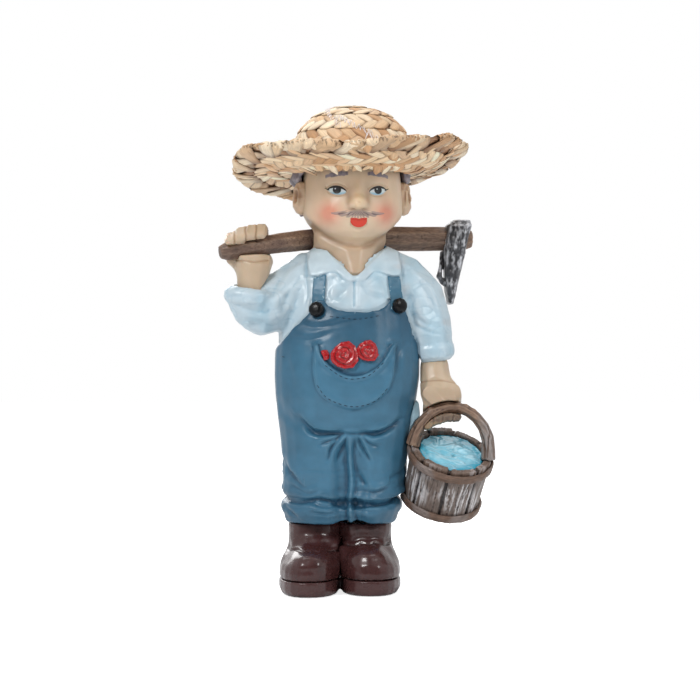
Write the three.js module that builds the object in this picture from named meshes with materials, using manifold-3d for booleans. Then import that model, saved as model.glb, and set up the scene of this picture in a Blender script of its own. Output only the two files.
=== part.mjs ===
// Gardener figurine: a small cast and painted ornament that wears a real straw hat.
// He stands on his boots, holds a hoe across his shoulders and carries a bucket of water.
// Millimetres, +Z up. He faces -Y, and the origin lies on the ground between his boots.
// Left and right are his own: his right hand holds the hoe and his left hand the bucket.
import * as THREE from "three";
import { mergeVertices } from "three/addons/utils/BufferGeometryUtils.js";
import Module from "manifold-3d";

const wasm = await Module();
wasm.setup();

// Driving dimensions
const SEAM = 0.3; // gap left between neighbouring forms
const SOLE_HEIGHT = 6.2;
const SOLE_LIP = 0.4; // how far the sole stands out around the boot
const WEB_WIDTH = 9; // casting left between the two soles
const WEB_DEPTH = 17;
const BOOT_WIDTH = 25.4; // across the toe cap
const BOOT_LENGTH = 50;
const BOOT_SPREAD = 13; // from the middle to the centre of each boot
const TOE_STAGGER = 5; // how much further forward the right toe stands
const HEM_HEIGHT = 28.8;
const BOOT_TOP = HEM_HEIGHT - SEAM;
const CUFF_HEIGHT = 10.5; // the rolled band at the trouser hem
const CROTCH_HEIGHT = 66;
const TORSO_HEIGHT = 82.4; // from the crotch to the chin
const CHIN_HEIGHT = CROTCH_HEIGHT + TORSO_HEIGHT;
const BELLY_WIDTH = 62.5; // the widest part of him
const RIGHT_SIDE = -0.45 * BELLY_WIDTH; // he leans a little to his left
const LEFT_SIDE = 0.55 * BELLY_WIDTH;
const CLOTH_THICKNESS = 1.3; // how far laid-on cloth forms stand out
const STRAP_WIDTH = 5.2;
const BUTTON_DIAMETER = 6.6;
const BUTTON_THICKNESS = 2.2;
const HEAD_HEIGHT = 48.5;
const HEAD_WIDTH = 43.6;
const HEAD_TURN = 0.12; // radians, towards his left
const HEAD_X = 5.2;
const BODY_SQUARENESS = 2.25; // 2 is round, more is squarer
const HEAD_SQUARENESS = 2.08;
const HAIR_THICKNESS = 1.7;
const HAIR_TUFT = 3; // how much thicker it is over the ears
const EAR_HEIGHT = 14;
const EAR_THICKNESS = 3.6;
const STRAW_THICKNESS = 1.5;
const HAT_RADIUS = 49.8;
const CROWN_RADIUS = 25.2;
const CROWN_HEIGHT = 27.2;
const BRIM_COILS = 3; // coils of plait from the crown to the edge
const HANDLE_RADIUS = 4.4; // at the grip
const HANDLE_HEAD_RADIUS = 5.7; // where it enters the hoe
const HOE_WIDTH = 17; // across the blade
const HOE_DROP = 37; // from the top of the eye to the tip
const FINGER_RADIUS = 2.2;
const FINGER_SPACING = 4.44;
const BUCKET_RADIUS = 17.2;
const BUCKET_BASE_RADIUS = 16.2;
const BUCKET_HEIGHT = 26.5;
const BUCKET_TILT = 0.51; // radians, mouth towards the viewer
const BUCKET_ROLL = 0.21; // radians, mouth towards his left
const STAVE_COUNT = 8;
const STAVE_THICKNESS = 2.8;
const STAVE_GAP = 0.8;
const HOOP_HEIGHT = 3.4;
const HOOP_THICKNESS = 1.1;
const WATER_DEPTH = 5; // from the rim to the floor that the cast water lies on
const BAIL_RISE = 18.4;
const BAIL_THICKNESS = 6.4; // of its legs, seen from the front
const BAIL_TOP_THICKNESS = 4.7;
const BAIL_WIDTH = 9.2; // of its legs, seen from the side
const ROSE_RADIUS = 5.8;

const { sin, cos, PI, abs, max, sign } = Math;
const lerp = THREE.MathUtils.lerp;
const smoothstep = THREE.MathUtils.smoothstep;
const AXIS_X = new THREE.Vector3(1, 0, 0);
const AXIS_Y = new THREE.Vector3(0, 1, 0);
const AXIS_Z = new THREE.Vector3(0, 0, 1);
const FRONT = -PI / 2;
const BACK = PI / 2;

// Solids

// A closed geometry as a solid for joining and cutting. Faces that point inwards are turned round.
function solidFrom(geometry) {
  const bare = new THREE.BufferGeometry().setAttribute("position", geometry.getAttribute("position").clone());
  if (geometry.index) bare.setIndex(geometry.index.clone());
  const merged = mergeVertices(bare, 1e-4);
  const corner = merged.index.array;
  const faces = [];
  for (let i = 0; i < corner.length; i += 3) {
    const [a, b, c] = [corner[i], corner[i + 1], corner[i + 2]];
    if (a !== b && b !== c && a !== c) faces.push(a, b, c);
  }
  const vertProperties = Float32Array.from(merged.attributes.position.array);
  const build = (list) =>
    new wasm.Manifold(new wasm.Mesh({ numProp: 3, vertProperties, triVerts: Uint32Array.from(list) }));
  const made = build(faces);
  return made.volume() < 0 ? build(faces.reverse()) : made;
}

// A solid as an indexed geometry.
function geometryFrom(solid) {
  const mesh = solid.getMesh();
  const position = new Float32Array(mesh.numVert * 3);
  for (let i = 0; i < mesh.numVert; i++) {
    position.set(mesh.vertProperties.subarray(i * mesh.numProp, i * mesh.numProp + 3), i * 3);
  }
  return new THREE.BufferGeometry()
    .setAttribute("position", new THREE.BufferAttribute(position, 3))
    .setIndex(new THREE.BufferAttribute(Uint32Array.from(mesh.triVerts), 1));
}

// The same solid in another place.
function moved(solid, matrix) {
  return solidFrom(geometryFrom(solid).applyMatrix4(matrix));
}

// The solid with its skin pushed out along its normals.
function grown(solid, distance) {
  const geometry = geometryFrom(solid);
  geometry.computeVertexNormals();
  const { position, normal } = geometry.attributes;
  for (let i = 0; i < position.count; i++) {
    position.setXYZ(
      i,
      position.getX(i) + normal.getX(i) * distance,
      position.getY(i) + normal.getY(i) * distance,
      position.getZ(i) + normal.getZ(i) * distance,
    );
  }
  return solidFrom(geometry);
}

// The largest body of a solid, without the crumbs that a cut leaves.
function largest(solid) {
  const bodies = solid.decompose();
  return bodies.reduce((best, body) => (body.volume() > best.volume() ? body : best));
}

// A solid with the seam round it. The solid itself is kept in, for the corners that growing thins.
const withSeam = (solid) => grown(solid, SEAM).add(solid);

// A piece cut back so that it lies against its neighbours with a seam between them.
function seated(solid, ...neighbours) {
  return largest(neighbours.reduce((left, other) => left.subtract(withSeam(other)), solid));
}

function joined(...solids) {
  return solids.reduce((all, one) => all.add(one));
}

// Forms

// A table of numbers keyed by its first column, read smoothly in between.
function smoothRows(table) {
  const size = table[0].length - 1;
  const keys = Float32Array.from(table, (row) => row[0]);
  const values = Float32Array.from(table.flatMap((row) => row.slice(1)));
  const curve = new THREE.CubicInterpolant(keys, values, size, new Float32Array(size));
  return (key) => Array.from(curve.evaluate(THREE.MathUtils.clamp(key, keys[0], keys.at(-1))));
}

// A skin over rings of points, closed at both ends by a fan.
function loft(rings) {
  const count = rings[0].length;
  const points = rings.flat();
  const faces = [];
  const corner = (ring, i) => ring * count + (i % count);
  for (let ring = 0; ring + 1 < rings.length; ring++) {
    for (let i = 0; i < count; i++) {
      faces.push(corner(ring, i), corner(ring, i + 1), corner(ring + 1, i));
      faces.push(corner(ring, i + 1), corner(ring + 1, i + 1), corner(ring + 1, i));
    }
  }
  for (const ring of [0, rings.length - 1]) {
    const middle = rings[ring].reduce((sum, p) => sum.add(p), new THREE.Vector3()).divideScalar(count);
    points.push(middle);
    for (let i = 0; i < count; i++) {
      const pair = [corner(ring, i), corner(ring, i + 1)];
      if (ring === 0) pair.reverse();
      faces.push(...pair, points.length - 1);
    }
  }
  return solidFrom(new THREE.BufferGeometry().setFromPoints(points).setIndex(faces));
}

// Angles once round, closer together near the front when focus is above 0.
function anglesRound(sides, focus = 0) {
  return Array.from({ length: sides }, (_, i) => {
    const even = (i / sides) * 2 * PI;
    return FRONT + even - focus * sin(even);
  });
}

// A point on a rounded section given by its left, right, front and back, lift outside its skin.
function sectionPoint([left, right, front, back], angle, height, power, lift) {
  const halfX = (right - left) / 2;
  const halfY = (back - front) / 2;
  const [c, s] = [cos(angle), sin(angle)];
  const out = new THREE.Vector2(c / halfX, s / halfY).normalize().multiplyScalar(lift);
  const x = (left + right) / 2 + halfX * sign(c) * abs(c) ** (2 / power) + out.x;
  const y = (front + back) / 2 + halfY * sign(s) * abs(s) ** (2 / power) + out.y;
  return new THREE.Vector3(x, y, height);
}

// A body lofted upward through levels. at(height) gives its section, power its squareness,
// and relief(angle, height) what its surface adds to that.
function upright({ at, levels, angles, power = 2, relief = () => 0 }) {
  return loft(
    levels.map((height) => {
      const section = at(height);
      return angles.map((angle) => sectionPoint(section, angle, height, power, relief(angle, height)));
    }),
  );
}

// A limb through stations [x, y, z, radius]. Towards up its section measures flat times its radius,
// and round is the number of rings, up to 2, that round each end off.
function limb(stations, { sides = 8, steps = 8, flat = 1, up = AXIS_Z, round = 1 } = {}) {
  const path = new THREE.CatmullRomCurve3(stations.map(([x, y, z]) => new THREE.Vector3(x, y, z)));
  const radiusAt = smoothRows(stations.map((station, i) => [i / (stations.length - 1), station[3]]));
  const ring = (t, radius, shift) => {
    const middle = path.getPoint(t);
    const along = path.getTangent(t);
    const side = new THREE.Vector3().crossVectors(along, up).normalize();
    const top = new THREE.Vector3().crossVectors(side, along);
    middle.addScaledVector(along, shift);
    return Array.from({ length: sides }, (_, i) => {
      const angle = ((i + 0.5) / sides) * 2 * PI;
      return middle
        .clone()
        .addScaledVector(side, radius * cos(angle))
        .addScaledVector(top, radius * flat * sin(angle));
    });
  };
  const rings = [];
  const bends = [[], [0.85], [1.25, 0.65]][round];
  const first = radiusAt(0)[0];
  const last = radiusAt(1)[0];
  for (const angle of bends) rings.push(ring(0, first * cos(angle), -first * flat * sin(angle)));
  for (let i = 0; i <= steps; i++) rings.push(ring(i / steps, radiusAt(i / steps)[0], 0));
  for (const angle of bends.toReversed()) rings.push(ring(1, last * cos(angle), last * flat * sin(angle)));
  return loft(rings);
}

// A flat outline given as [across, up] points, smoothed where round is set, pushed from near to far along Y.
function prism(outline, near, far) {
  const shape = new THREE.Shape(outline.map(([x, z]) => new THREE.Vector2(x, z)));
  const block = new THREE.ExtrudeGeometry(shape, { depth: far - near, bevelEnabled: false });
  block.rotateX(PI / 2).translate(0, far, 0);
  return solidFrom(block);
}

// Points of a smooth curve through a few [across, up] points.
function smoothLine(points, count, closed = false) {
  const curve = new THREE.CatmullRomCurve3(points.map(([x, z]) => new THREE.Vector3(x, z, 0)), closed);
  return curve.getPoints(count).map((p) => [p.x, p.y]);
}

// An ellipsoid with its half sizes along X, Y and Z.
function ball([x, y, z], [halfX, halfY, halfZ], sides = 12, rows = 8) {
  const sphere = new THREE.SphereGeometry(1, sides, rows).rotateX(PI / 2);
  return solidFrom(sphere.scale(halfX, halfY, halfZ).translate(x, y, z));
}

const bump = (value, middle, width) => Math.exp(-(((value - middle) / width) ** 2));
const turned = (angle, from) => Math.atan2(sin(angle - from), cos(angle - from));

// Boots

// The section of a boot at a height: its half width and its front and back.
const bootRows = smoothRows([
  [SOLE_HEIGHT, BOOT_WIDTH / 2 - 0.3, -BOOT_LENGTH * 0.715, BOOT_LENGTH * 0.28],
  [SOLE_HEIGHT + 4, BOOT_WIDTH / 2 + 0.1, -BOOT_LENGTH * 0.725, BOOT_LENGTH * 0.285],
  [SOLE_HEIGHT + 8, BOOT_WIDTH / 2 - 0.1, -BOOT_LENGTH * 0.685, BOOT_LENGTH * 0.28],
  [SOLE_HEIGHT + 11.5, BOOT_WIDTH / 2 - 1, -BOOT_LENGTH * 0.575, BOOT_LENGTH * 0.275],
  [SOLE_HEIGHT + 14, BOOT_WIDTH / 2 - 1.5, -BOOT_LENGTH * 0.42, BOOT_LENGTH * 0.272],
  [SOLE_HEIGHT + 16, BOOT_WIDTH / 2 - 1.7, -BOOT_LENGTH * 0.3, BOOT_LENGTH * 0.27],
  [SOLE_HEIGHT + 19, BOOT_WIDTH / 2 - 1.6, -BOOT_LENGTH * 0.262, BOOT_LENGTH * 0.272],
  [BOOT_TOP, BOOT_WIDTH / 2 - 1.4, -BOOT_LENGTH * 0.256, BOOT_LENGTH * 0.28],
]);

// side is -1 for the right boot and 1 for the left one.
function bootSection(side, height, lip = 0) {
  const [half, front, back] = bootRows(height);
  const middle = side * (BOOT_SPREAD - 1.9 * smoothstep(height, SOLE_HEIGHT + 3, SOLE_HEIGHT + 14));
  const toe = side > 0 ? TOE_STAGGER * (1 - smoothstep(height, SOLE_HEIGHT + 12, SOLE_HEIGHT + 17)) : 0;
  return [middle - half - lip, middle + half + lip, front + toe - lip, back + lip];
}

function bootSolid(side) {
  const levels = [0, 2.4, 6, 9.2, 11.6, 13.4, 15, 17.4].map((rise) => SOLE_HEIGHT + SEAM + rise);
  const at = (height) => bootSection(side, height);
  return upright({ at, levels: [...levels, BOOT_TOP], angles: anglesRound(18, 0.25), power: 2.3 });
}

function solesSolid() {
  const edge = 1;
  const sole = (side) =>
    upright({
      at: (height) => bootSection(side, SOLE_HEIGHT, SOLE_LIP - (height < edge ? edge * 0.7 : 0)),
      levels: [0, edge, SOLE_HEIGHT],
      angles: anglesRound(18, 0.25),
      power: 2.3,
    });
  const web = new THREE.BoxGeometry(WEB_WIDTH, WEB_DEPTH, SOLE_HEIGHT - 1);
  web.translate(0, WEB_DEPTH / 2 - 4, (SOLE_HEIGHT - 1) / 2);
  return joined(sole(-1), sole(1), solidFrom(web));
}

// Body: the overalls and the shirt inside them

// The height of a share of the way from the crotch to the chin.
const torso = (share) => CROTCH_HEIGHT + TORSO_HEIGHT * share;

// Left, right, front and back at a height, in shares of the belly's width.
const bodyRows = (rows) =>
  smoothRows(rows.map(([height, ...sides]) => [height, ...sides.map((share) => share * BELLY_WIDTH)]));

const overallsRows = bodyRows([
  [HEM_HEIGHT, -0.371, 0.382, -0.323, 0.294],
  [HEM_HEIGHT + CUFF_HEIGHT * 0.55, -0.397, 0.419, -0.352, 0.317],
  [HEM_HEIGHT + CUFF_HEIGHT, -0.392, 0.43, -0.336, 0.314],
  [HEM_HEIGHT + CUFF_HEIGHT * 1.7, -0.395, 0.451, -0.349, 0.323],
  [CROTCH_HEIGHT - 9, -0.4, 0.47, -0.358, 0.336],
  [CROTCH_HEIGHT, -0.413, 0.486, -0.374, 0.352],
  [torso(0.12), -0.432, 0.509, -0.416, 0.368],
  [torso(0.24), -0.445, 0.536, -0.438, 0.368],
  [torso(0.35), -0.45, 0.55, -0.432, 0.355],
  [torso(0.46), -0.445, 0.541, -0.406, 0.336],
  [torso(0.56), -0.429, 0.525, -0.374, 0.314],
  [torso(0.67), -0.4, 0.504, -0.342, 0.288],
]);

// Each crease: the angle and height of its middle, its slope and bend, half length, width and depth.
const creases = [
  { angle: FRONT, height: CROTCH_HEIGHT + 1.6, slope: 0, bend: 7, reach: 1.15, width: 1.9, depth: 1.7 },
  { angle: FRONT - 0.34, height: CROTCH_HEIGHT - 6, slope: 15, bend: 0, reach: 0.26, width: 1.5, depth: 0.9 },
  { angle: FRONT + 0.4, height: CROTCH_HEIGHT - 7, slope: -17, bend: 0, reach: 0.26, width: 1.5, depth: 0.9 },
  { angle: FRONT - 0.9, height: HEM_HEIGHT + 19, slope: -9, bend: 0, reach: 0.5, width: 1.8, depth: 0.9 },
  { angle: FRONT + 0.9, height: HEM_HEIGHT + 21, slope: 9, bend: 0, reach: 0.5, width: 1.8, depth: 0.8 },
];

function overallsRelief(angle, height) {
  const legs = 1 - smoothstep(height, CROTCH_HEIGHT - 10, CROTCH_HEIGHT + 1);
  const inseam = bump(turned(angle, FRONT + 0.06), 0, 0.2) + bump(turned(angle, BACK), 0, 0.22);
  const cuffLine = HEM_HEIGHT + CUFF_HEIGHT + 1.2 * cos(2 * angle) + 0.5 * sin(5 * angle);
  const cuff = 0.3 * sin(4 * angle) * bump(height, HEM_HEIGHT + 3, 4) - 1.5 * bump(height, cuffLine, 1.3);
  const folds = creases.reduce((sum, { angle: middle, height: at, slope, bend, reach, width, depth }) => {
    const across = turned(angle, middle);
    const line = at + slope * across + bend * across * across;
    return sum - depth * bump(across, 0, reach) * bump(height, line, width);
  }, 0);
  return cuff + folds - 3.6 * legs * inseam;
}

const BIB_TOP = torso(0.643);
const BUTTON_PLACES = [[BELLY_WIDTH * -0.15, BIB_TOP], [BELLY_WIDTH * 0.39, BIB_TOP + 1.8]];
const FAR = BELLY_WIDTH; // well clear of the body, for cuts that run out of it

// What the overalls cover, as seen from the front: bib, neckline and armholes.
function bibOutline(dip) {
  const [[rightX, rightZ], [leftX, leftZ]] = BUTTON_PLACES;
  const neck = BIB_TOP - dip;
  const under = torso(0.45);
  const leftArmhole = [[LEFT_SIDE - 0.6, under], [LEFT_SIDE - 3.8, BIB_TOP - 8], [leftX + 3.2, leftZ - 1]];
  const rightArmhole = [[rightX - 3.2, rightZ - 0.6], [RIGHT_SIDE + 8.1, BIB_TOP - 8.4], [RIGHT_SIDE + 0.7, under]];
  const neckline = [[leftX - 4, leftZ + 1], [leftX - 9.4, neck], [leftX - 18, neck - 0.6], [rightX + 9.4, neck]];
  return [
    [-FAR, 0],
    [FAR, 0],
    [FAR, torso(0.41)],
    ...smoothLine(leftArmhole, 5),
    [leftX + 2.6, leftZ + 3],
    [leftX - 3.4, leftZ + 3.2],
    ...smoothLine([...neckline, [rightX + 4, rightZ + 2.4]], 10),
    [rightX + 3.4, rightZ + 4.6],
    [rightX - 2.6, rightZ + 4.6],
    ...smoothLine(rightArmhole, 5),
    [-FAR, torso(0.41)],
  ];
}

const shirtRows = bodyRows([
  [torso(0.388), -0.422, 0.525, -0.397, 0.326],
  [torso(0.461), -0.429, 0.528, -0.387, 0.32],
  [torso(0.558), -0.419, 0.522, -0.357, 0.298],
  [torso(0.655), -0.4, 0.512, -0.326, 0.278],
  [torso(0.752), -0.384, 0.518, -0.294, 0.266],
  [torso(0.825), -0.368, 0.512, -0.259, 0.25],
  [torso(0.886), -0.326, 0.474, -0.221, 0.227],
  [torso(0.934), -0.262, 0.413, -0.176, 0.205],
  [torso(0.971), -0.144, 0.304, -0.128, 0.176],
]);

function overallsSolid() {
  const cuff = [0, 3, 6.6, 9.2, 11, 13, 16].map((rise) => HEM_HEIGHT + rise);
  const leg = [-16, -9, -3.6, 0, 2.6, 5.4, 9.4].map((rise) => CROTCH_HEIGHT + rise);
  const levels = [...cuff, ...leg, ...[0.2, 0.3, 0.4, 0.53, 0.655, 0.73].map(torso)].sort((a, b) => a - b);
  const angles = anglesRound(23, 0.32);
  return upright({ at: overallsRows, levels, angles, power: BODY_SQUARENESS, relief: overallsRelief });
}

function shirtSolid() {
  const levels = [0.4, 0.53, 0.655, 0.752, 0.825, 0.886, 0.934, 0.971].map(torso);
  return upright({ at: shirtRows, levels, angles: anglesRound(18, 0.2), power: BODY_SQUARENESS });
}

// Hoe: its handle lies across his shoulders behind the neck

const handlePath = [
  [RIGHT_SIDE - 19.5, -16.2, CHIN_HEIGHT - 4.4, HANDLE_RADIUS - 0.2],
  [RIGHT_SIDE - 3.9, -10.5, CHIN_HEIGHT - 1.6, HANDLE_RADIUS],
  [RIGHT_SIDE + 15.1, 2.5, CHIN_HEIGHT + 1.4, HANDLE_RADIUS + 0.6],
  [HEAD_X + 0.8, 14.5, CHIN_HEIGHT + 2.8, lerp(HANDLE_RADIUS, HANDLE_HEAD_RADIUS, 0.5)],
  [LEFT_SIDE - 7.4, 20.5, CHIN_HEIGHT + 2.9, HANDLE_HEAD_RADIUS],
  [LEFT_SIDE + 19.6, 24.5, CHIN_HEIGHT + 2.9, HANDLE_HEAD_RADIUS],
];
const handleCurve = new THREE.CatmullRomCurve3(handlePath.map(([x, y, z]) => new THREE.Vector3(x, y, z)));

// Where the handle's centre line passes a given x.
function handleAt(x) {
  const points = handleCurve.getPoints(120);
  return points.reduce((best, p) => (abs(p.x - x) < abs(best.x - x) ? p : best));
}

function hoeHeadSolid() {
  const { x, y, z } = handleAt(LEFT_SIDE + 17.1);
  const top = z + HANDLE_HEAD_RADIUS + 2.6;
  const tip = top - HOE_DROP;
  const half = HOE_WIDTH / 2;
  const rows = smoothRows([
    [tip, x - 4.3, x - 1.9, y - half, y + half + 1],
    [tip + HOE_DROP * 0.14, x - 5.5, x - 0.5, y - half - 0.4, y + half + 1.4],
    [tip + HOE_DROP * 0.38, x - 6.1, x + 1.5, y - half, y + half],
    [tip + HOE_DROP * 0.62, x - 6.5, x + 3.7, y - half, y + half - 0.4],
    [tip + HOE_DROP * 0.81, x - 6.1, x + 5.3, y - half, y + half - 0.6],
    [top - 2.4, x - 5.5, x + 6.5, y - half + 0.8, y + half - 1.2],
    [top, x - 2.5, x + 5.9, y - half + 3, y + half - 3.4],
  ]);
  const levels = [0, 0.16, 0.38, 0.6, 0.78, 0.935, 1].map((share) => tip + share * HOE_DROP);
  const head = upright({ at: rows, levels, angles: anglesRound(12), power: 3.6 });
  const langet = limb(
    [
      [x - 6.9, y - 3, z - HANDLE_HEAD_RADIUS, 0.9],
      [x - 7.5, y - 4, z - HANDLE_HEAD_RADIUS - 6.7, 0.9],
      [x - 8.1, y - 5, z - HANDLE_HEAD_RADIUS - 11.7, 1.6],
      [x - 4.9, y - 5, z - HANDLE_HEAD_RADIUS - 14.3, 1.8],
    ],
    { sides: 6, steps: 5, up: AXIS_Y },
  );
  return joined(head, langet);
}

// Head

const headTable = smoothRows(
  [
    [0, 0.16, -0.36, 0.08],
    [0.025, 0.42, -0.66, 0.36],
    [0.08, 0.7, -0.84, 0.6],
    [0.165, 0.9, -0.94, 0.8],
    [0.27, 0.99, -0.97, 0.92],
    [0.39, 1, -0.965, 0.98],
    [0.52, 0.975, -0.955, 1.01],
    [0.64, 0.95, -0.93, 1.02],
    [0.76, 0.9, -0.88, 0.98],
    [0.87, 0.77, -0.75, 0.84],
    [0.95, 0.53, -0.5, 0.58],
    [1, 0.14, -0.12, 0.16],
  ].map(([rise, ...shares]) => [rise * HEAD_HEIGHT, ...shares.map((share) => (share * HEAD_WIDTH) / 2)]),
);

// The head's section at a height above the chin.
function headSection(rise) {
  const [half, front, back] = headTable(rise);
  return [-half, half, front, back];
}

// The head's own frame: X across the face, -Y out of it and Z up from the chin.
const headFrame = new THREE.Matrix4()
  .makeRotationZ(HEAD_TURN)
  .premultiply(new THREE.Matrix4().makeTranslation(HEAD_X, 0, CHIN_HEIGHT));

// Heights of the features, as shares of the head's height above the chin.
const EYE_LEVEL = 0.43;
const NOSE_LEVEL = 0.31;
const MOUTH_LEVEL = 0.16;
const BROW_LEVEL = 0.575;
const EYE_SPREAD = 9.4;
const NOSE_WIDTH = 7.4;
const NOSE_LENGTH = 3.1;
const EYE_WIDTH = 7.6;
const MOUTH_WIDTH = 7;

function headRelief(angle, rise) {
  const half = HEAD_WIDTH / 2;
  const across = turned(angle, FRONT) * half;
  const level = rise / HEAD_HEIGHT;
  const cheek = 1 * bump(abs(across), half * 0.52, 5) * bump(level, 0.22, 0.1);
  const socket = -1.1 * bump(abs(across), EYE_SPREAD, 4) * bump(level, EYE_LEVEL, 0.055);
  const brow = 0.55 * bump(abs(across), EYE_SPREAD * 0.9, 6) * bump(level, BROW_LEVEL - 0.02, 0.05);
  const chin = 1.1 * bump(across, 0, 6) * bump(level, 0.04, 0.05);
  const crease = -0.5 * bump(across, 0, 6) * bump(level, 0.095, 0.022);
  const bridge = 0.8 * bump(across, 0, 2.6) * bump(level, 0.41, 0.06);
  const nose = NOSE_LENGTH * bump(across, 0, NOSE_WIDTH * 0.38) * bump(level, NOSE_LEVEL, 0.048);
  return cheek + socket + brow + chin + crease + bridge + nose;
}

function headSolid() {
  const shares = [0, 0.03, 0.08, 0.13, 0.18, 0.23, 0.27, 0.3, 0.34, 0.38, 0.44, 0.5, 0.57, 0.66, 0.78, 0.9, 1];
  const levels = shares.map((share) => share * HEAD_HEIGHT);
  const angles = anglesRound(24, 0.6);
  return upright({ at: headSection, levels, angles, power: HEAD_SQUARENESS, relief: headRelief });
}

// Where the face's skin lies at a place on it, in the head's frame.
function facePoint(across, level) {
  const rise = level * HEAD_HEIGHT;
  const section = headSection(rise);
  const share = THREE.MathUtils.clamp(abs(across) / section[1], 0, 1) ** (HEAD_SQUARENESS / 2);
  const angle = FRONT + sign(across) * Math.asin(share);
  return sectionPoint(section, angle, rise, HEAD_SQUARENESS, headRelief(angle, rise));
}

// An almond laid on the face: half sizes across and up, how far it stands out, how much its ends
// are raised above its middle, and how steeply it leans.
function facePatch({ across, level, halfAcross, halfUp, proud, bend = 0, lean = 0 }) {
  const columns = [-1, -0.75, -0.4, 0, 0.4, 0.75, 1];
  const rows = [-1, -0.5, 0.5, 1];
  const grid = (lift) =>
    rows.map((v) =>
      columns.map((u) => {
        const up = v * halfUp * Math.sqrt(1 - 0.96 * u * u) + bend * u * u + lean * u;
        const point = facePoint(across + u * halfAcross, level + up / HEAD_HEIGHT);
        const share = THREE.MathUtils.clamp(point.x / (HEAD_WIDTH / 2), -1, 1);
        const out = new THREE.Vector3(share, -Math.sqrt(1 - share * share), 0);
        return point.addScaledVector(out, lift(1 - abs(u) ** 2.4 * 0.9, 1 - v * v * 0.8));
      }),
    );
  return sheet(grid((u, v) => SEAM * 1.5 + proud * u * v), grid(() => SEAM * 1.2));
}

function earSolid(side) {
  const level = EYE_LEVEL - 0.04;
  const rise = level * HEAD_HEIGHT;
  const [, half] = headSection(rise);
  const shell = ball([0, 0, 0], [EAR_THICKNESS, EAR_HEIGHT * 0.32, EAR_HEIGHT / 2], 9, 6);
  const hollow = [EAR_THICKNESS * 0.55, EAR_HEIGHT * 0.17, EAR_HEIGHT * 0.29];
  const bowl = ball([side * EAR_THICKNESS * 0.9, -EAR_HEIGHT * 0.06, EAR_HEIGHT * 0.06], hollow, 6, 5);
  const lean = new THREE.Matrix4().makeRotationZ(-side * 0.35).setPosition(side * (half + 0.4), -1, rise);
  return moved(shell.subtract(bowl), lean);
}

function moustacheSolid() {
  const level = (NOSE_LEVEL + MOUTH_LEVEL) / 2 + 0.012;
  const wing = (side) => {
    const along = [0, 3, 6, 9, 11.6].map((across, i) => {
      const point = facePoint(side * across, level - [0, 0.012, 0.026, 0.03, 0.012][i]);
      return [point.x, point.y + 0.2, point.z, [1.9, 1.8, 1.35, 0.95, 0.6][i]];
    });
    return limb(along, { sides: 5, steps: 3 });
  };
  return joined(wing(-1), wing(1));
}

// A sheet of thickness between two grids of points that share their rows and columns.
function sheet(outside, inside) {
  const rows = outside.length;
  const columns = outside[0].length;
  const points = [...outside.flat(), ...inside.flat()];
  const faces = [];
  const at = (row, column, under) => under * rows * columns + row * columns + column;
  const quad = (a, b, c, d) => faces.push(a, b, c, a, c, d);
  for (let row = 0; row + 1 < rows; row++) {
    for (let column = 0; column + 1 < columns; column++) {
      quad(at(row, column, 0), at(row, column + 1, 0), at(row + 1, column + 1, 0), at(row + 1, column, 0));
      quad(at(row, column, 1), at(row + 1, column, 1), at(row + 1, column + 1, 1), at(row, column + 1, 1));
    }
    quad(at(row, 0, 0), at(row + 1, 0, 0), at(row + 1, 0, 1), at(row, 0, 1));
    quad(at(row, columns - 1, 0), at(row, columns - 1, 1), at(row + 1, columns - 1, 1), at(row + 1, columns - 1, 0));
  }
  for (let column = 0; column + 1 < columns; column++) {
    quad(at(0, column, 0), at(0, column, 1), at(0, column + 1, 1), at(0, column + 1, 0));
    const last = rows - 1;
    quad(at(last, column, 0), at(last, column + 1, 0), at(last, column + 1, 1), at(last, column, 1));
  }
  return solidFrom(new THREE.BufferGeometry().setFromPoints(points).setIndex(faces));
}

// Hair: a layer round the back of the head, from temple to temple, in shallow locks.
function hairSolid() {
  const rows = 6;
  const columns = 13;
  const under = SEAM * 4;
  const top = 0.63;
  const grid = (lift) =>
    Array.from({ length: rows }, (_, row) =>
      Array.from({ length: columns }, (_, column) => {
        const side = 1 - (2 * column) / (columns - 1);
        const bottom = lerp(0.1, 0.25, smoothstep(abs(side), 0.3, 0.8));
        const level = lerp(bottom, top, row / (rows - 1));
        const reach = lerp(1.24, 1.84, smoothstep(level, 0.46, 0.6));
        const angle = BACK + reach * side;
        const full = column === 0 || column === columns - 1 ? 0.4 : 1;
        const rise = level * HEAD_HEIGHT;
        const out = under + lift(angle, level) * full;
        return sectionPoint(headSection(rise), angle, rise, HEAD_SQUARENESS, out);
      }),
    );
  const tuft = (angle, level) =>
    HAIR_TUFT * bump(abs(turned(angle, BACK)), 1.45, 0.4) * bump(level, 0.57, 0.1);
  const lock = (angle, level) => {
    const thin = lerp(0.35, 1, smoothstep(level, 0.12, 0.4));
    return HAIR_THICKNESS * thin + tuft(angle, level) + 0.3 * sin(11 * angle + level * 20);
  };
  return sheet(grid(lock), grid(() => 0));
}

// Straw hat: one plait coiled from the crown to the brim, so the brim has a ridge for every coil

const HAT_ROOT = CHIN_HEIGHT + HEAD_HEIGHT * 0.64; // where the crown meets the brim

// How far the edge of the brim lies above its root, from his right side round the front and back again.
const edgeTable = smoothRows([
  [-PI, -0.8],
  [-PI * 0.83, 6.6],
  [-PI * 0.67, 7.8],
  [FRONT, 7.2],
  [-PI * 0.2, 11.6],
  [0, 10.6],
  [PI * 0.25, 0.4],
  [BACK, -7.8],
  [PI * 0.75, -7.4],
  [PI * 0.88, -3.8],
  [PI, -0.8],
]);

function brimEdge(angle) {
  return edgeTable(turned(angle, 0))[0] + 0.5 * sin(9 * angle);
}

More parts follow.
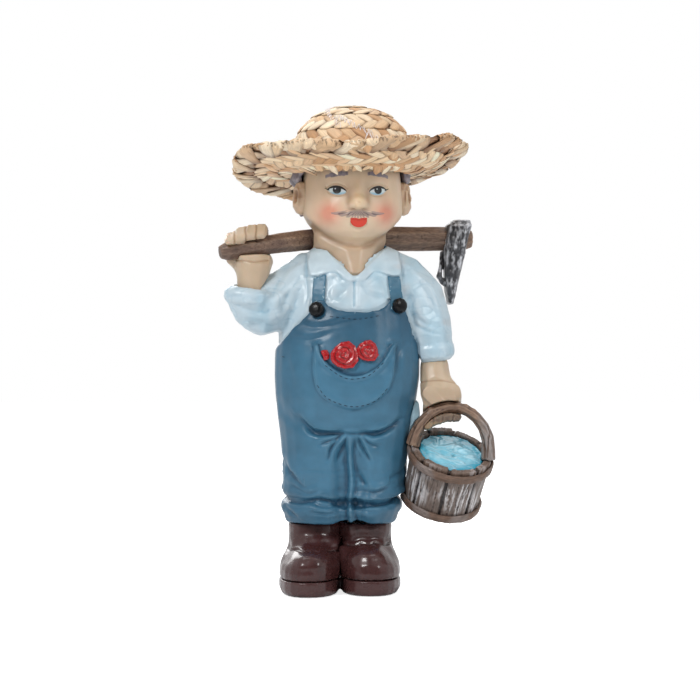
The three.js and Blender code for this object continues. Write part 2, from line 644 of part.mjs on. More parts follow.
function hatPoint(radius, angle, lift) {
  const share = max(0, (radius - CROWN_RADIUS) / (HAT_RADIUS - CROWN_RADIUS));
  const edge = HAT_RADIUS + 0.8 * sin(4 * angle) + 0.5 * sin(7 * angle + 1);
  const out = radius <= CROWN_RADIUS ? radius : lerp(CROWN_RADIUS, edge, share);
  const height = HAT_ROOT + lift + brimEdge(angle) * share ** 1.3;
  return new THREE.Vector3(HEAD_X - share + out * cos(angle), out * sin(angle), height);
}

const crownRows = [[0.02, 1], [0.3, 0.975], [0.54, 0.9], [0.76, 0.76], [0.9, 0.6], [0.985, 0.38], [1, 0]];

function crownSolid() {
  const inner = CROWN_RADIUS - STRAW_THICKNESS;
  const ridge = [0, 0.4, -0.3, 0.4, -0.3, 0.3, 0];
  const ring = (radius, lift) => anglesRound(22).map((angle) => hatPoint(radius, angle, lift));
  const outside = crownRows.map(([share, rise], i) =>
    ring(share * CROWN_RADIUS + ridge[i], rise * CROWN_HEIGHT),
  );
  const ceiling = CROWN_HEIGHT - STRAW_THICKNESS;
  const insideRows = crownRows.filter((_, i) => i % 2 === 0);
  const inside = insideRows.map(([share, rise]) => ring(share * inner, rise * ceiling));
  return loft([...outside, ...inside.reverse()]);
}

function brimSolid() {
  const inner = CROWN_RADIUS + SEAM;
  const along = (steps, lift) =>
    Array.from({ length: steps + 1 }, (_, i) => {
      const ridge = i % 2 ? 0.45 : -0.1;
      return { radius: lerp(inner, HAT_RADIUS, i / steps), lift: lift(STRAW_THICKNESS / 2 + ridge) };
    });
  const above = along(BRIM_COILS * 2, (half) => half);
  const below = along(BRIM_COILS, (half) => -half).reverse();
  const sections = anglesRound(28).map((angle) =>
    [...above, ...below].map(({ radius, lift }) => hatPoint(radius, angle, lift)),
  );
  return ringSkin(sections);
}

// A skin over sections that follow each other round a ring and close on themselves.
function ringSkin(sections) {
  const count = sections[0].length;
  const faces = [];
  const corner = (section, i) => (section % sections.length) * count + (i % count);
  for (let section = 0; section < sections.length; section++) {
    for (let i = 0; i < count; i++) {
      faces.push(corner(section, i), corner(section, i + 1), corner(section + 1, i));
      faces.push(corner(section, i + 1), corner(section + 1, i + 1), corner(section + 1, i));
    }
  }
  return solidFrom(new THREE.BufferGeometry().setFromPoints(sections.flat()).setIndex(faces));
}

// Arms and hands

// Stations of an arm: out from a side of the belly, y, down from the chin, and radius.
const armPath = (side, stations) =>
  stations.map(([out, y, drop, radius]) => [side + out, y, CHIN_HEIGHT - drop, radius]);

const rightUpperArmPath = armPath(RIGHT_SIDE, [
  [16.1, 1, 15.4, 12.4],
  [4.6, -4, 22.4, 11.4],
  [-4.3, -9.4, 28.4, 11.9],
]);
const rightElbowPath = armPath(RIGHT_SIDE, [
  [-6.5, -11.4, 30.8, 9.2],
  [-8.9, -12.8, 26.8, 9.9],
  [-10.1, -13.8, 22.6, 9.6],
]);
const rightForearmPath = armPath(RIGHT_SIDE, [
  [-9.4, -13.8, 26.4, 6.5],
  [-9.2, -13.6, 17.4, 6.1],
  [-8.8, -13.6, 9.4, 6.8],
]);
const leftSleevePath = armPath(LEFT_SIDE, [
  [-14.4, 2.5, 14.4, 12.4],
  [-3.4, 1, 20.2, 12.4],
  [1.4, -0.4, 31.4, 11.6],
  [4, -2, 39.4, 10.4],
  [5.6, -3.2, 45.4, 8.6],
]);
const leftForearmPath = armPath(LEFT_SIDE, [
  [5.8, -3.4, 47.4, 6],
  [6, -4.8, 53.4, 6],
  [6.4, -7.4, 59.8, 7],
]);

// A rolled cuff round a point of an arm: a flattened ring tilted to the arm.
function cuffSolid([x, y, z, armRadius], thickness, height, tilt) {
  const radius = armRadius - 0.4;
  const half = height / 2;
  const rim = [
    [radius - 2.4, -half],
    [radius - 0.2, -half],
    [radius + thickness, -half * 0.45],
    [radius + thickness * 0.9, half * 0.5],
    [radius - 0.6, half],
    [radius - 2.4, half],
  ];
  const profile = [...rim, rim[0]].map(([r, h]) => new THREE.Vector2(r, h));
  const ring = new THREE.LatheGeometry(profile, 11).rotateX(PI / 2);
  ring.rotateX(tilt[0]).rotateY(tilt[1]).translate(x, y, z - 0.7);
  return solidFrom(ring);
}

// A finger curled round a bar: its path turns about the bar's centre from one angle to another.
function curledFinger([x, y, z], reachY, reachZ, from, to, radius) {
  const stations = Array.from({ length: 5 }, (_, i) => {
    const angle = lerp(from, to, i / 4);
    const out = (reachY + radius) * cos(angle);
    const up = (reachZ + radius) * sin(angle);
    return [x, y + out, z + up, radius * lerp(1, 0.88, i / 4)];
  });
  return limb(stations, { sides: 6, steps: 4, up: AXIS_X });
}

function rightHandSolid() {
  const grip = HANDLE_RADIUS + SEAM;
  const [wristX, wristY, wristZ] = rightForearmPath.at(-1);
  const fingers = [-1, 0.6, 1, 0.7].map((raised, i) => {
    const { x, y, z } = handleAt(wristX - 9.2 + i * FINGER_SPACING);
    return curledFinger([x, y, z], grip, grip + raised, -0.7, 2.55, FINGER_RADIUS);
  });
  const middle = handleAt(wristX - 1);
  const back = limb(
    [
      [wristX, wristY + 2, wristZ - 1.5, 6.6],
      [middle.x, middle.y + grip + 1, middle.z - 2.5, 6.8],
      [middle.x - 0.6, middle.y + grip + 1.4, middle.z + 2, 5.5],
    ],
    { sides: 8, steps: 3, flat: 1.25, up: AXIS_X, round: 2 },
  );
  const bar = handleAt(wristX + 6);
  const thumb = limb(
    [
      [bar.x + 0.4, bar.y + 1.5, bar.z - grip - 2.4, 2.7],
      [bar.x - 3.4, bar.y - 4, bar.z - grip - 1.7, 2.6],
      [bar.x - 9.4, bar.y - 7, bar.z - grip + 0.1, 2.3],
    ],
    { sides: 6, steps: 4 },
  );
  return joined(...fingers, back, thumb);
}

// Bucket: modelled upright round its own axis, with its rim at height 0, then tilted as it hangs

// The middle of the rim, which hangs from the left wrist.
const [hangX, hangY, hangZ] = leftForearmPath.at(-1);
const BUCKET_PLACE = [hangX + 6.8, hangY - 4.6, hangZ - BAIL_RISE - 10.4];
const bucketFrame = new THREE.Matrix4()
  .makeRotationX(BUCKET_TILT)
  .premultiply(new THREE.Matrix4().makeRotationY(BUCKET_ROLL))
  .premultiply(new THREE.Matrix4().makeTranslation(...BUCKET_PLACE));

function bucketRadius(height) {
  return lerp(BUCKET_BASE_RADIUS, BUCKET_RADIUS, (height + BUCKET_HEIGHT) / BUCKET_HEIGHT);
}

// Staves side by side round a solid core, each with its own height and standing a little proud or back.
// One of the grooves between them faces forward.
function tubSolid() {
  const perStave = [-0.5, -0.44, -0.2, 0.2, 0.44];
  const staves = Array.from({ length: STAVE_COUNT }, (_, stave) => stave);
  const stations = staves.flatMap((stave) =>
    perStave.map((part, i) => ({
      angle: FRONT + ((stave + part + 0.5) / STAVE_COUNT) * 2 * PI,
      groove: i === 0 ? -STAVE_GAP : 0.16 * sin(2.4 * stave),
      top: i === 0 ? -1.3 : 0.5 * sin(1.9 * stave),
    })),
  );
  const ring = (height, inwards, grooved, topped) =>
    stations.map(({ angle, groove, top }) => {
      const radius = bucketRadius(height) - inwards + groove * grooved;
      return new THREE.Vector3(radius * cos(angle), radius * sin(angle), height + top * topped);
    });
  return loft([
    ring(-BUCKET_HEIGHT, 1.4, 0.5, 0),
    ring(-BUCKET_HEIGHT + 1, 0, 1, 0),
    ring(-BUCKET_HEIGHT / 2, 0, 1, 0),
    ring(0, 0, 1, 1),
    ring(0, STAVE_THICKNESS, 0, 1),
    ring(-WATER_DEPTH, STAVE_THICKNESS, 0, 0),
  ]);
}

function hoopSolid(height) {
  const half = HOOP_HEIGHT / 2;
  const inner = SEAM + 0.2;
  const outer = inner + HOOP_THICKNESS;
  const section = [[inner, -half], [outer - 0.3, -half], [outer, 0], [outer - 0.3, half], [inner, half]];
  const profile = [...section, section[0]].map(([across, up]) => {
    return new THREE.Vector2(bucketRadius(height + up) + across, height + up);
  });
  return solidFrom(new THREE.LatheGeometry(profile, 20).rotateX(PI / 2));
}

function waterSolid() {
  const edge = bucketRadius(-WATER_DEPTH) - STAVE_THICKNESS - SEAM;
  const surface = -WATER_DEPTH + 3.1;
  const ring = (share, height, wave) =>
    anglesRound(16).map((angle) => {
      const ripple = 0.35 * sin(share * 11 + 2 * sin(2 * angle)) + 0.2 * sin(3 * angle + 5 * share);
      const radius = edge * share;
      return new THREE.Vector3(radius * cos(angle), radius * sin(angle), height + ripple * wave);
    });
  const middle = [0.05, 0.3, 0.55].map((share) => ring(share, surface, 1));
  const brink = [ring(0.8, surface + 0.2, 1), ring(1, surface + 0.7, 0)];
  return loft([...middle, ...brink, ring(1, -WATER_DEPTH + SEAM, 0)]);
}

// The bail: two long staves carried up into an arch over the rim, where it is thinner.
const bailSpan = BUCKET_RADIUS - STAVE_THICKNESS / 2 + 0.4;
const bailRoll = new THREE.Matrix4().makeRotationY(BUCKET_ROLL * 0.6);

function bailAt(turn) {
  const across = -bailSpan * cos(turn);
  const point = new THREE.Vector3(across, 0, BAIL_RISE * sin(turn)).applyMatrix4(bailRoll);
  return [BUCKET_PLACE[0] - 0.6 + point.x, BUCKET_PLACE[1] + 0.3, BUCKET_PLACE[2] + point.z];
}

function bailSolid() {
  const stations = [0, 0.12, 0.25, 0.38, 0.5, 0.62, 0.75, 0.88, 1].map((share) => {
    const thickness = lerp(BAIL_THICKNESS, BAIL_TOP_THICKNESS, sin(share * PI));
    return [...bailAt(share * PI), thickness / 2];
  });
  const [x, y, z, radius] = stations.at(-1);
  const path = [...stations, [x, y, z - 2.2, radius]];
  return limb(path, { sides: 8, steps: 13, round: 0, flat: BAIL_WIDTH / BAIL_THICKNESS, up: AXIS_Y });
}

// Where the bail's centre line passes a given x.
function bailTopAt(x) {
  const points = Array.from({ length: 81 }, (_, i) => bailAt(lerp(0.15, 0.85, i / 80) * PI));
  return points.reduce((best, p) => (abs(p[0] - x) < abs(best[0] - x) ? p : best));
}

function leftHandSolid() {
  const reachZ = BAIL_TOP_THICKNESS / 2 + SEAM;
  const reachY = (BAIL_WIDTH / BAIL_THICKNESS) * (BAIL_TOP_THICKNESS / 2) + SEAM;
  const [wristX, wristY, wristZ] = leftForearmPath.at(-1);
  const fingers = [0.35, 0.2, 0.2, 0.25].map((thinner, i) => {
    const bar = bailTopAt(wristX - 3.6 + i * (FINGER_SPACING - 0.28));
    return curledFinger(bar, reachY, reachZ, 0.9, -2.2, FINGER_RADIUS - thinner);
  });
  const [x, y, z] = bailTopAt(wristX + 2.8);
  const top = z + reachZ;
  const palm = limb(
    [
      [wristX, wristY, wristZ, 7],
      [x - 1, y + 1.4, top + 3.6, 8.8],
      [x + 0.6, y + 1, top + 1.2, 9],
    ],
    { sides: 8, steps: 3, flat: 0.62, up: AXIS_Y, round: 2 },
  );
  const thumb = limb(
    [
      [x - 6, y - 3, top + 4, 2.8],
      [x - 3.6, y - 6.4, top + 1.4, 2.5],
      [x - 0.4, y - 7.4, top - 1.6, 2.1],
    ],
    { sides: 6, steps: 3 },
  );
  return joined(...fingers, palm, thumb);
}

// Roses: a dome whose petals wind outwards from the middle
function roseSolid([x, z], radius, depth) {
  const angles = anglesRound(radius > 3 ? 11 : 7);
  const point = (angle, reach, height) => new THREE.Vector3(reach * cos(angle), reach * sin(angle), height);
  const rings = [0.1, 0.3, 0.5, 0.7, 0.87, 1].map((share) =>
    angles.map((angle) => {
      const turn = share * 2.6 - angle / (2 * PI);
      const petal = turn - Math.floor(turn);
      const scallop = 1 + 0.07 * sin(3 * angle + share * 4) * share;
      const height = Math.sqrt(1 - 0.86 * share * share) + 0.24 * petal - 0.12;
      return point(angle, radius * share * scallop, depth * height);
    }),
  );
  const back = angles.map((angle) => point(angle, radius * 0.8, -depth * 1.6));
  return moved(loft([...rings, back]), onOveralls(x, z));
}

// A frame on the front of the overalls: its Z points out of the cloth.
function onOveralls(x, z) {
  const front = (px, pz) => {
    const [left, right, near, far] = overallsRows(pz);
    const share = THREE.MathUtils.clamp((px - (left + right) / 2) / ((right - left) / 2), -0.99, 0.99);
    const bulge = (1 - abs(share) ** BODY_SQUARENESS) ** (1 / BODY_SQUARENESS);
    return new THREE.Vector3(px, (near + far) / 2 - ((far - near) / 2) * bulge, pz);
  };
  const middle = front(x, z);
  const across = front(x + 1, z).sub(front(x - 1, z)).normalize();
  const upward = front(x, z + 1).sub(front(x, z - 1)).normalize();
  const out = new THREE.Vector3().crossVectors(across, upward).normalize();
  const up = new THREE.Vector3().crossVectors(out, across).normalize();
  return new THREE.Matrix4().makeBasis(across, up, out).setPosition(middle);
}

function buttonSolid([x, z]) {
  const half = BUTTON_DIAMETER / 2;
  const dome = [[half, -2], [half, 0.35], [half * 0.82, 0.8], [half * 0.45, 1], [0, 1.04]];
  const profile = [[0, -2], ...dome].map(([r, rise]) => new THREE.Vector2(r, rise * BUTTON_THICKNESS));
  const turnedShape = solidFrom(new THREE.LatheGeometry(profile, 10).rotateX(PI / 2));
  const seat = new THREE.Matrix4().makeTranslation(0, 0, CLOTH_THICKNESS + 0.3);
  return moved(turnedShape, seat.premultiply(onOveralls(x, z)));
}

// Building the pieces. Each is cut back from those that lie before it.

const shell = (body, thickness) => grown(body, thickness + SEAM).subtract(grown(body, SEAM));

const handle = limb(handlePath, { sides: 8, steps: 11 });
const headCore = moved(headSolid(), headFrame);
const head = seated(headCore, handle);
const neckCore = limb(
  [
    [HEAD_X - 1.5, 1.6, CHIN_HEIGHT + 9, 14],
    [HEAD_X - 1.5, 0.6, CHIN_HEIGHT - 1, 13.8],
    [HEAD_X + 0.6, -5, CHIN_HEIGHT - 7.6, 9.8],
    [HEAD_X + 1.2, -10.2, CHIN_HEIGHT - 12.6, 5.6],
  ],
  { sides: 10, steps: 3, flat: 1.2, up: AXIS_X },
);
const neck = seated(neckCore, headCore, handle);
const shirtCore = shirtSolid();
const shirt = seated(shirtCore, neckCore, headCore, handle);
const cover = joined(prism(bibOutline(0), -FAR, 0), prism(bibOutline(6), 0, FAR));
const overallsCore = overallsSolid().intersect(cover);
const overalls = seated(overallsCore, shirtCore);
const soles = solesSolid();
const rightBoot = bootSolid(-1);
const leftBoot = seated(bootSolid(1), rightBoot);

const inHead = (solid) => moved(solid, headFrame);
const earCores = [-1, 1].map((side) => inHead(earSolid(side)));
const hairCore = inHead(hairSolid());

// The collar: a standing band round the neck with a wing on each side
function collarSolid(side) {
  const middle = HEAD_X + 1.2;
  const x = (value) => middle + side * value;
  const lapel = [[0.3, -15.4], [1.4, -17.6], [4.4, -16.8], [8.2, -13.6]];
  const wing = [[12.4, -14], [16, -15.2], [19.6, -14.6], [20, -8], [18.8, -3], [15, 0], [8.8, -7]];
  const outline = [...lapel, ...wing].map(([across, down]) => [x(across), CHIN_HEIGHT + down]);
  const laid = shell(shirtCore, CLOTH_THICKNESS).intersect(prism(outline, -FAR, 4));
  const round = [[3.2, 13.4], [9, 12.8], [15.2, 6], [17.2, -2], [14.2, -9]];
  const band = limb(
    round.map(([across, y]) => [HEAD_X - 0.6 + side * across, y, CHIN_HEIGHT - 6 + 0.08 * y, 2.4]),
    { sides: 6, steps: 5, flat: 1.2 },
  );
  return joined(laid, band);
}
const rightCollarCore = collarSolid(-1);
const leftCollarCore = collarSolid(1);
const underCollar = [shirtCore, neckCore, headCore, handle, overallsCore];
const rightCollar = seated(rightCollarCore, ...underCollar);
const leftCollar = seated(leftCollarCore, ...underCollar, rightCollarCore);

const rightSleeveCore = joined(
  limb(rightUpperArmPath, { sides: 10, steps: 3, up: AXIS_Y, round: 2 }),
  limb(rightElbowPath, { sides: 10, steps: 3, up: AXIS_Y, round: 0 }),
);
const leftSleeveCore = limb(leftSleevePath, { sides: 10, steps: 6, round: 0, up: AXIS_Y });
const rightCuffCore = cuffSolid(rightElbowPath.at(-1), 2, 8, [0.12, 0.12]);
const leftCuffCore = cuffSolid([...leftSleevePath.at(-1).slice(0, 3), 7.8], 2, 8.6, [0.16, -0.1]);
const rightForearmCore = limb(rightForearmPath, { sides: 10, steps: 2, round: 0, up: AXIS_Y });
const leftForearmCore = limb(leftForearmPath, { sides: 10, steps: 2, round: 0, up: AXIS_Y });
const rightSleeve = seated(rightSleeveCore, shirtCore, overallsCore, handle, rightCollarCore);
const rightCuff = seated(rightCuffCore, rightSleeveCore, handle);
const rightForearm = seated(rightForearmCore, rightSleeveCore, rightCuffCore, handle);
const rightHand = seated(rightHandSolid(), handle, rightForearmCore, rightCuffCore, rightSleeveCore);
const leftSleeve = seated(leftSleeveCore, shirtCore, overallsCore, handle, leftCollarCore);
const leftCuff = seated(leftCuffCore, leftSleeveCore, overallsCore);
const leftForearm = seated(leftForearmCore, leftSleeveCore, leftCuffCore, overallsCore);

const bailCore = bailSolid();
const bail = seated(bailCore, overallsCore);
const leftHand = seated(leftHandSolid(), bailCore, leftForearmCore, overallsCore, leftCuffCore);
const tubCore = moved(tubSolid(), bucketFrame);
const tub = seated(tubCore, bailCore, overallsCore);
const upperHoop = seated(moved(hoopSolid(-HOOP_HEIGHT * 0.95), bucketFrame), bailCore, overallsCore);
const lowerHoop = seated(moved(hoopSolid(-BUCKET_HEIGHT + HOOP_HEIGHT * 0.75), bucketFrame), overallsCore);
const water = seated(moved(waterSolid(), bucketFrame), bailCore);

const hoeHead = seated(hoeHeadSolid(), handle, leftSleeveCore, shirtCore);

// A strap laid over the shirt from a button or the back panel up to the shoulder, between near and far.
function strapSolid([x, z], lean, near, far) {
  const half = STRAP_WIDTH / 2;
  const top = CHIN_HEIGHT + 7.6;
  const outline = [[x - half, z], [x + half, z], [x + half + lean, top], [x - half + lean, top]];
  return shell(shirtCore, CLOTH_THICKNESS).intersect(prism(outline, near, far));
}
const [rightButtonPlace, leftButtonPlace] = BUTTON_PLACES;
const shoulder = 2; // where the front straps end and the back ones begin
const rightStrapCore = strapSolid(rightButtonPlace, 2.4, -FAR, shoulder - SEAM);
const leftStrapCore = strapSolid(leftButtonPlace, -4.4, -FAR, shoulder - SEAM);
const rightBackCore = strapSolid(rightButtonPlace, 2.4, shoulder, FAR);
const leftBackCore = strapSolid(leftButtonPlace, -4.4, shoulder, FAR);
const overRight = [overallsCore, rightCollarCore, rightSleeveCore, neckCore, headCore, handle];
const overLeft = [overallsCore, leftCollarCore, leftSleeveCore, neckCore, headCore, handle];
const rightStrap = seated(rightStrapCore, ...overRight);
const leftStrap = seated(leftStrapCore, ...overLeft);
const rightBackStrap = seated(rightBackCore, ...overRight);
const leftBackStrap = seated(leftBackCore, ...overLeft);
const rightButton = seated(buttonSolid(rightButtonPlace), overallsCore, rightStrapCore, shirtCore);
const leftButton = seated(buttonSolid(leftButtonPlace), overallsCore, leftStrapCore, shirtCore);

// The bib pocket: a crescent of cloth, open at the top, with roses in it
const POCKET_TOP = BIB_TOP - 14;
const pocketEdge = [[-10.6, 0], [-11, -13], [-7, -22.6], [6.8, -27.6], [19.6, -20.6], [23.2, -11], [23.6, 0]];
const pocketMouth = [[22.2, 0], [17, -8.4], [4.4, -14], [-5.4, -8.8], [-9, 0]];
const pocketOutline = [...smoothLine(pocketEdge, 15), ...smoothLine(pocketMouth, 10)];
const pocketCutter = prism(pocketOutline.map(([x, drop]) => [x, POCKET_TOP + drop]), -FAR, -6);
const pocketCore = shell(overallsCore, CLOTH_THICKNESS).intersect(pocketCutter);
const pocket = largest(pocketCore);
const largeRoseCore = roseSolid([2.2, POCKET_TOP - 5], ROSE_RADIUS, 3.1);
const smallRoseCore = roseSolid([11.6, POCKET_TOP - 3.2], ROSE_RADIUS * 0.78, 2.7);
const budCore = roseSolid([-6.4, POCKET_TOP - 5], ROSE_RADIUS * 0.42, 1.7);
const largeRose = seated(largeRoseCore, overallsCore, pocketCore);
const smallRose = seated(smallRoseCore, overallsCore, pocketCore, largeRoseCore);
const roseBud = seated(budCore, overallsCore, pocketCore, largeRoseCore);

// A light blue cloth that hangs from the side pocket beside the bucket
const [bucketX, bucketY, bucketZ] = BUCKET_PLACE;
const clothPath = [
  [bucketX - 16.6, bucketY + 3.6, bucketZ + 19.6, 3],
  [bucketX - 16, bucketY + 3, bucketZ + 13.2, 2.8],
  [bucketX - 16.6, bucketY + 2.6, bucketZ + 6.8, 2],
];
const clothCore = limb(clothPath, { sides: 6, steps: 3, flat: 0.62, up: AXIS_Y });
const besideCloth = [overallsCore, leftHand, bailCore, tubCore, leftForearmCore, upperHoop, water];
const pocketCloth = seated(clothCore, ...besideCloth);

const ears = earCores.map((ear) => seated(ear, headCore));
const hair = seated(hairCore, ...earCores, handle, neckCore);
const browSize = { level: BROW_LEVEL, halfAcross: 4.8, halfUp: 1.2, bend: -1.3, proud: 0.6 };
const eyeSize = { level: EYE_LEVEL, halfAcross: EYE_WIDTH / 2, halfUp: 1.9, proud: 0.45 };
const browAt = (side) => ({ across: side * EYE_SPREAD, ...browSize });
const eyeAt = (side) => ({ across: side * EYE_SPREAD, ...eyeSize });
const browCores = [-1, 1].map((side) => inHead(facePatch(browAt(side))));
const brows = browCores.map((brow) => seated(brow, headCore));
const eyes = [-1, 1].map((side) => seated(inHead(facePatch(eyeAt(side))), headCore));
const moustacheCore = inHead(moustacheSolid());
const moustache = seated(moustacheCore, headCore);
const mouthSize = { level: MOUTH_LEVEL, halfAcross: MOUTH_WIDTH / 2, halfUp: 1.9, bend: 0.5, proud: 0.6 };
const mouthAt = { across: 0.3, ...mouthSize };
const mouth = seated(inHead(facePatch(mouthAt)), headCore, moustacheCore);
const crown = seated(crownSolid(), headCore, hairCore, ...earCores);
const brim = seated(brimSolid(), headCore, hairCore, ...earCores, ...browCores);

// Paints
const paint = (color, roughness, metalness = 0) =>
  new THREE.MeshStandardMaterial({ color, roughness, metalness });
const paints = {
  skin: paint(0xd9bd9c, 0.45),
  shirt: paint(0xc3dbe8, 0.35),
  denim: paint(0x4f7997, 0.3),
  boot: paint(0x4a2d2c, 0.2),
  button: paint(0x17171a, 0.35),
  rose: paint(0xa81420, 0.3),
  hair: paint(0x7d7a80, 0.6),
  eye: paint(0xd7e4e8, 0.25),
  lips: paint(0xc8371f, 0.35),
  straw: paint(0xdfb98a, 0.8),
  wood: paint(0x6b5142, 0.65),
  stave: paint(0x857064, 0.7),
  iron: paint(0x55545a, 0.45, 0.35),
  water: paint(0x7fbccd, 0.2),
};

function named(name, solid, material) {
  const geometry = geometryFrom(solid).toNonIndexed();
  geometry.computeVertexNormals();
  const mesh = new THREE.Mesh(geometry, material);
  mesh.name = name;
  return mesh;
}

const group = (...children) => new THREE.Group().add(...children);

const legs = group(
  named("soles", soles, paints.boot),
  named("right_boot", rightBoot, paints.boot),
  named("left_boot", leftBoot, paints.boot),
);
const clothes = group(
  named("overalls", overalls, paints.denim),
  named("bib_pocket", pocket, paints.denim),
  named("right_strap", rightStrap, paints.denim),
  named("left_strap", leftStrap, paints.denim),
  named("right_back_strap", rightBackStrap, paints.denim),
  named("left_back_strap", leftBackStrap, paints.denim),
  named("right_strap_button", rightButton, paints.button),
  named("left_strap_button", leftButton, paints.button),
  named("shirt_body", shirt, paints.shirt),
  named("right_collar", rightCollar, paints.shirt),
  named("left_collar", leftCollar, paints.shirt),
  named("right_sleeve", rightSleeve, paints.shirt),
  named("right_cuff", rightCuff, paints.shirt),
  named("left_sleeve", leftSleeve, paints.shirt),
  named("left_cuff", leftCuff, paints.shirt),
  named("pocket_cloth", pocketCloth, paints.shirt),
  named("large_rose", largeRose, paints.rose),
  named("small_rose", smallRose, paints.rose),
  named("rose_bud", roseBud, paints.rose),
);
const skin = group(
  named("neck", neck, paints.skin),
  named("head", head, paints.skin),
  named("right_ear", ears[0], paints.skin),
  named("left_ear", ears[1], paints.skin),
  named("right_forearm", rightForearm, paints.skin),
  named("right_hand", rightHand, paints.skin),
  named("left_forearm", leftForearm, paints.skin),
  named("left_hand", leftHand, paints.skin),
  named("hair", hair, paints.hair),
  named("right_eyebrow", brows[0], paints.hair),
  named("left_eyebrow", brows[1], paints.hair),
  named("moustache", moustache, paints.hair),
  named("right_eye", eyes[0], paints.eye),
  named("left_eye", eyes[1], paints.eye),
  named("mouth", mouth, paints.lips),
);
const hat = group(named("hat_crown", crown, paints.straw), named("hat_brim", brim, paints.straw));
const hoe = group(named("hoe_handle", handle, paints.wood), named("hoe_head", hoeHead, paints.iron));
const bucket = group(
  named("bucket_tub", tub, paints.stave),
  named("bucket_upper_hoop", upperHoop, paints.wood),
  named("bucket_lower_hoop", lowerHoop, paints.wood),
  named("bucket_bail", bail, paints.wood),
  named("bucket_water", water, paints.water),
);

const figurine = group(legs, clothes, skin, hat, hoe, bucket);
export default figurine;
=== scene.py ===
import math
import bmesh
import bpy
import numpy as np
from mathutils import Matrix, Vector
from mathutils.bvhtree import BVHTree


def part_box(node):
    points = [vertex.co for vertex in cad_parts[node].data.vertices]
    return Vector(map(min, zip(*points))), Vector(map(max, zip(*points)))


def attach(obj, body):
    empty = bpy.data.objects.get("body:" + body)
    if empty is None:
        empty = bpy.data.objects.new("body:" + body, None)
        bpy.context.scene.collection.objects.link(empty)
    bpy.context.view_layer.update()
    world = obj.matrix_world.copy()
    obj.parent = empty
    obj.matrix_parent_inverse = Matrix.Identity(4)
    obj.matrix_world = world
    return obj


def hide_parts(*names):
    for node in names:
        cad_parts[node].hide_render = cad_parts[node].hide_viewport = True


# The looks of the gardener figurine: a varnished, hand-painted resin casting with a plaited straw hat.
# Shapes are worked out in millimetres and written in metres. The figure faces -Y.

MM = 0.001
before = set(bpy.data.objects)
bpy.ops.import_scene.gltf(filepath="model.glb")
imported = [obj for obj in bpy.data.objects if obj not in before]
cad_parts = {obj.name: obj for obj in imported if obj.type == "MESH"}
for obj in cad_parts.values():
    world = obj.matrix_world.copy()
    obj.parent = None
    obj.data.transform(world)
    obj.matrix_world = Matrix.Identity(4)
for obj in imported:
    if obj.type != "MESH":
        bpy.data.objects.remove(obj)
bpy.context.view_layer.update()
scene = bpy.context.scene


# Camera and light

def added(name, data, place=(0, 0, 0), turn=(0, 0, 0)):
    """A new object in the scene."""
    ob = bpy.data.objects.new(name, data)
    ob.location, ob.rotation_euler = place, turn
    scene.collection.objects.link(ob)
    return ob


lens = bpy.data.cameras.new("camera")
lens.sensor_width, lens.lens, lens.clip_end = 36, 101.6, 20
scene.camera = added("camera", lens, (0.0043, -0.850, 0.1023), (math.pi / 2, 0, 0))
scene.view_settings.view_transform = "Standard"


def softbox(name, place, size, watts):
    data = bpy.data.lights.new(name, "AREA")
    data.shape = "RECTANGLE"
    data.size, data.size_y = size
    data.energy = watts
    aim = Vector((0, 0, 0.1)) - Vector(place)
    added(name, data, place, aim.to_track_quat("-Z", "Y").to_euler())


softbox("key_light", (-0.45, -0.75, 0.75), (0.24, 0.24), 5.0)
softbox("fill_light", (0.62, -0.6, 0.62), (0.24, 0.24), 2.2)
softbox("top_light", (0.0, 0.1, 0.9), (0.7, 0.5), 2.6)
softbox("back_light", (-0.3, 0.8, 0.5), (0.6, 0.5), 3.0)


def feed(tree, node, inputs):
    """Gives each input its value, or links it to the output that stands in its place."""
    for key, value in inputs.items():
        if isinstance(value, bpy.types.NodeSocket):
            tree.links.new(value, node.inputs[key])
        else:
            node.inputs[key].default_value = value


def shader(tree, kind, inputs=None, **settings):
    """A new shader node with its settings and inputs."""
    node = tree.nodes.new("ShaderNode" + kind)
    for key, value in settings.items():
        setattr(node, key, value)
    feed(tree, node, inputs or {})
    return node


def ranged(tree, value, low, high, start=0.3):
    """A noise value from start to 1 - start, spread out from low to high."""
    limits = {"From Min": start, "From Max": 1 - start, "To Min": low, "To Max": high}
    return shader(tree, "MapRange", {"Value": value, **limits}).outputs["Result"]


def build_world():
    world = bpy.data.worlds.new("studio")
    scene.world = world
    world.use_nodes = True
    tree = world.node_tree
    tree.nodes.clear()
    rays = shader(tree, "LightPath").outputs
    seen = shader(tree, "Background", {"Color": (1, 1, 1, 1)}).outputs[0]
    light = shader(tree, "Background", {"Color": (0.95, 0.97, 1, 1), "Strength": 0.42}).outputs[0]
    # Gloss mirrors a studio that is white at the sides and behind, and darker where the viewer stands.
    place = shader(tree, "SeparateXYZ", {0: shader(tree, "TexCoord").outputs["Generated"]})
    limits = {"From Min": -0.92, "From Max": -0.1, "To Min": 0.14, "To Max": 0.95}
    side = shader(tree, "MapRange", {"Value": place.outputs["Y"], **limits}, interpolation_type="SMOOTHSTEP")
    mirror = shader(tree, "Background", {"Strength": side.outputs["Result"]}).outputs[0]
    for ray, shown in (("Is Glossy Ray", mirror), ("Is Camera Ray", seen), ("Is Transmission Ray", seen)):
        light = shader(tree, "MixShader", {0: rays[ray], 1: light, 2: shown}).outputs[0]
    shader(tree, "OutputWorld", {"Surface": light})


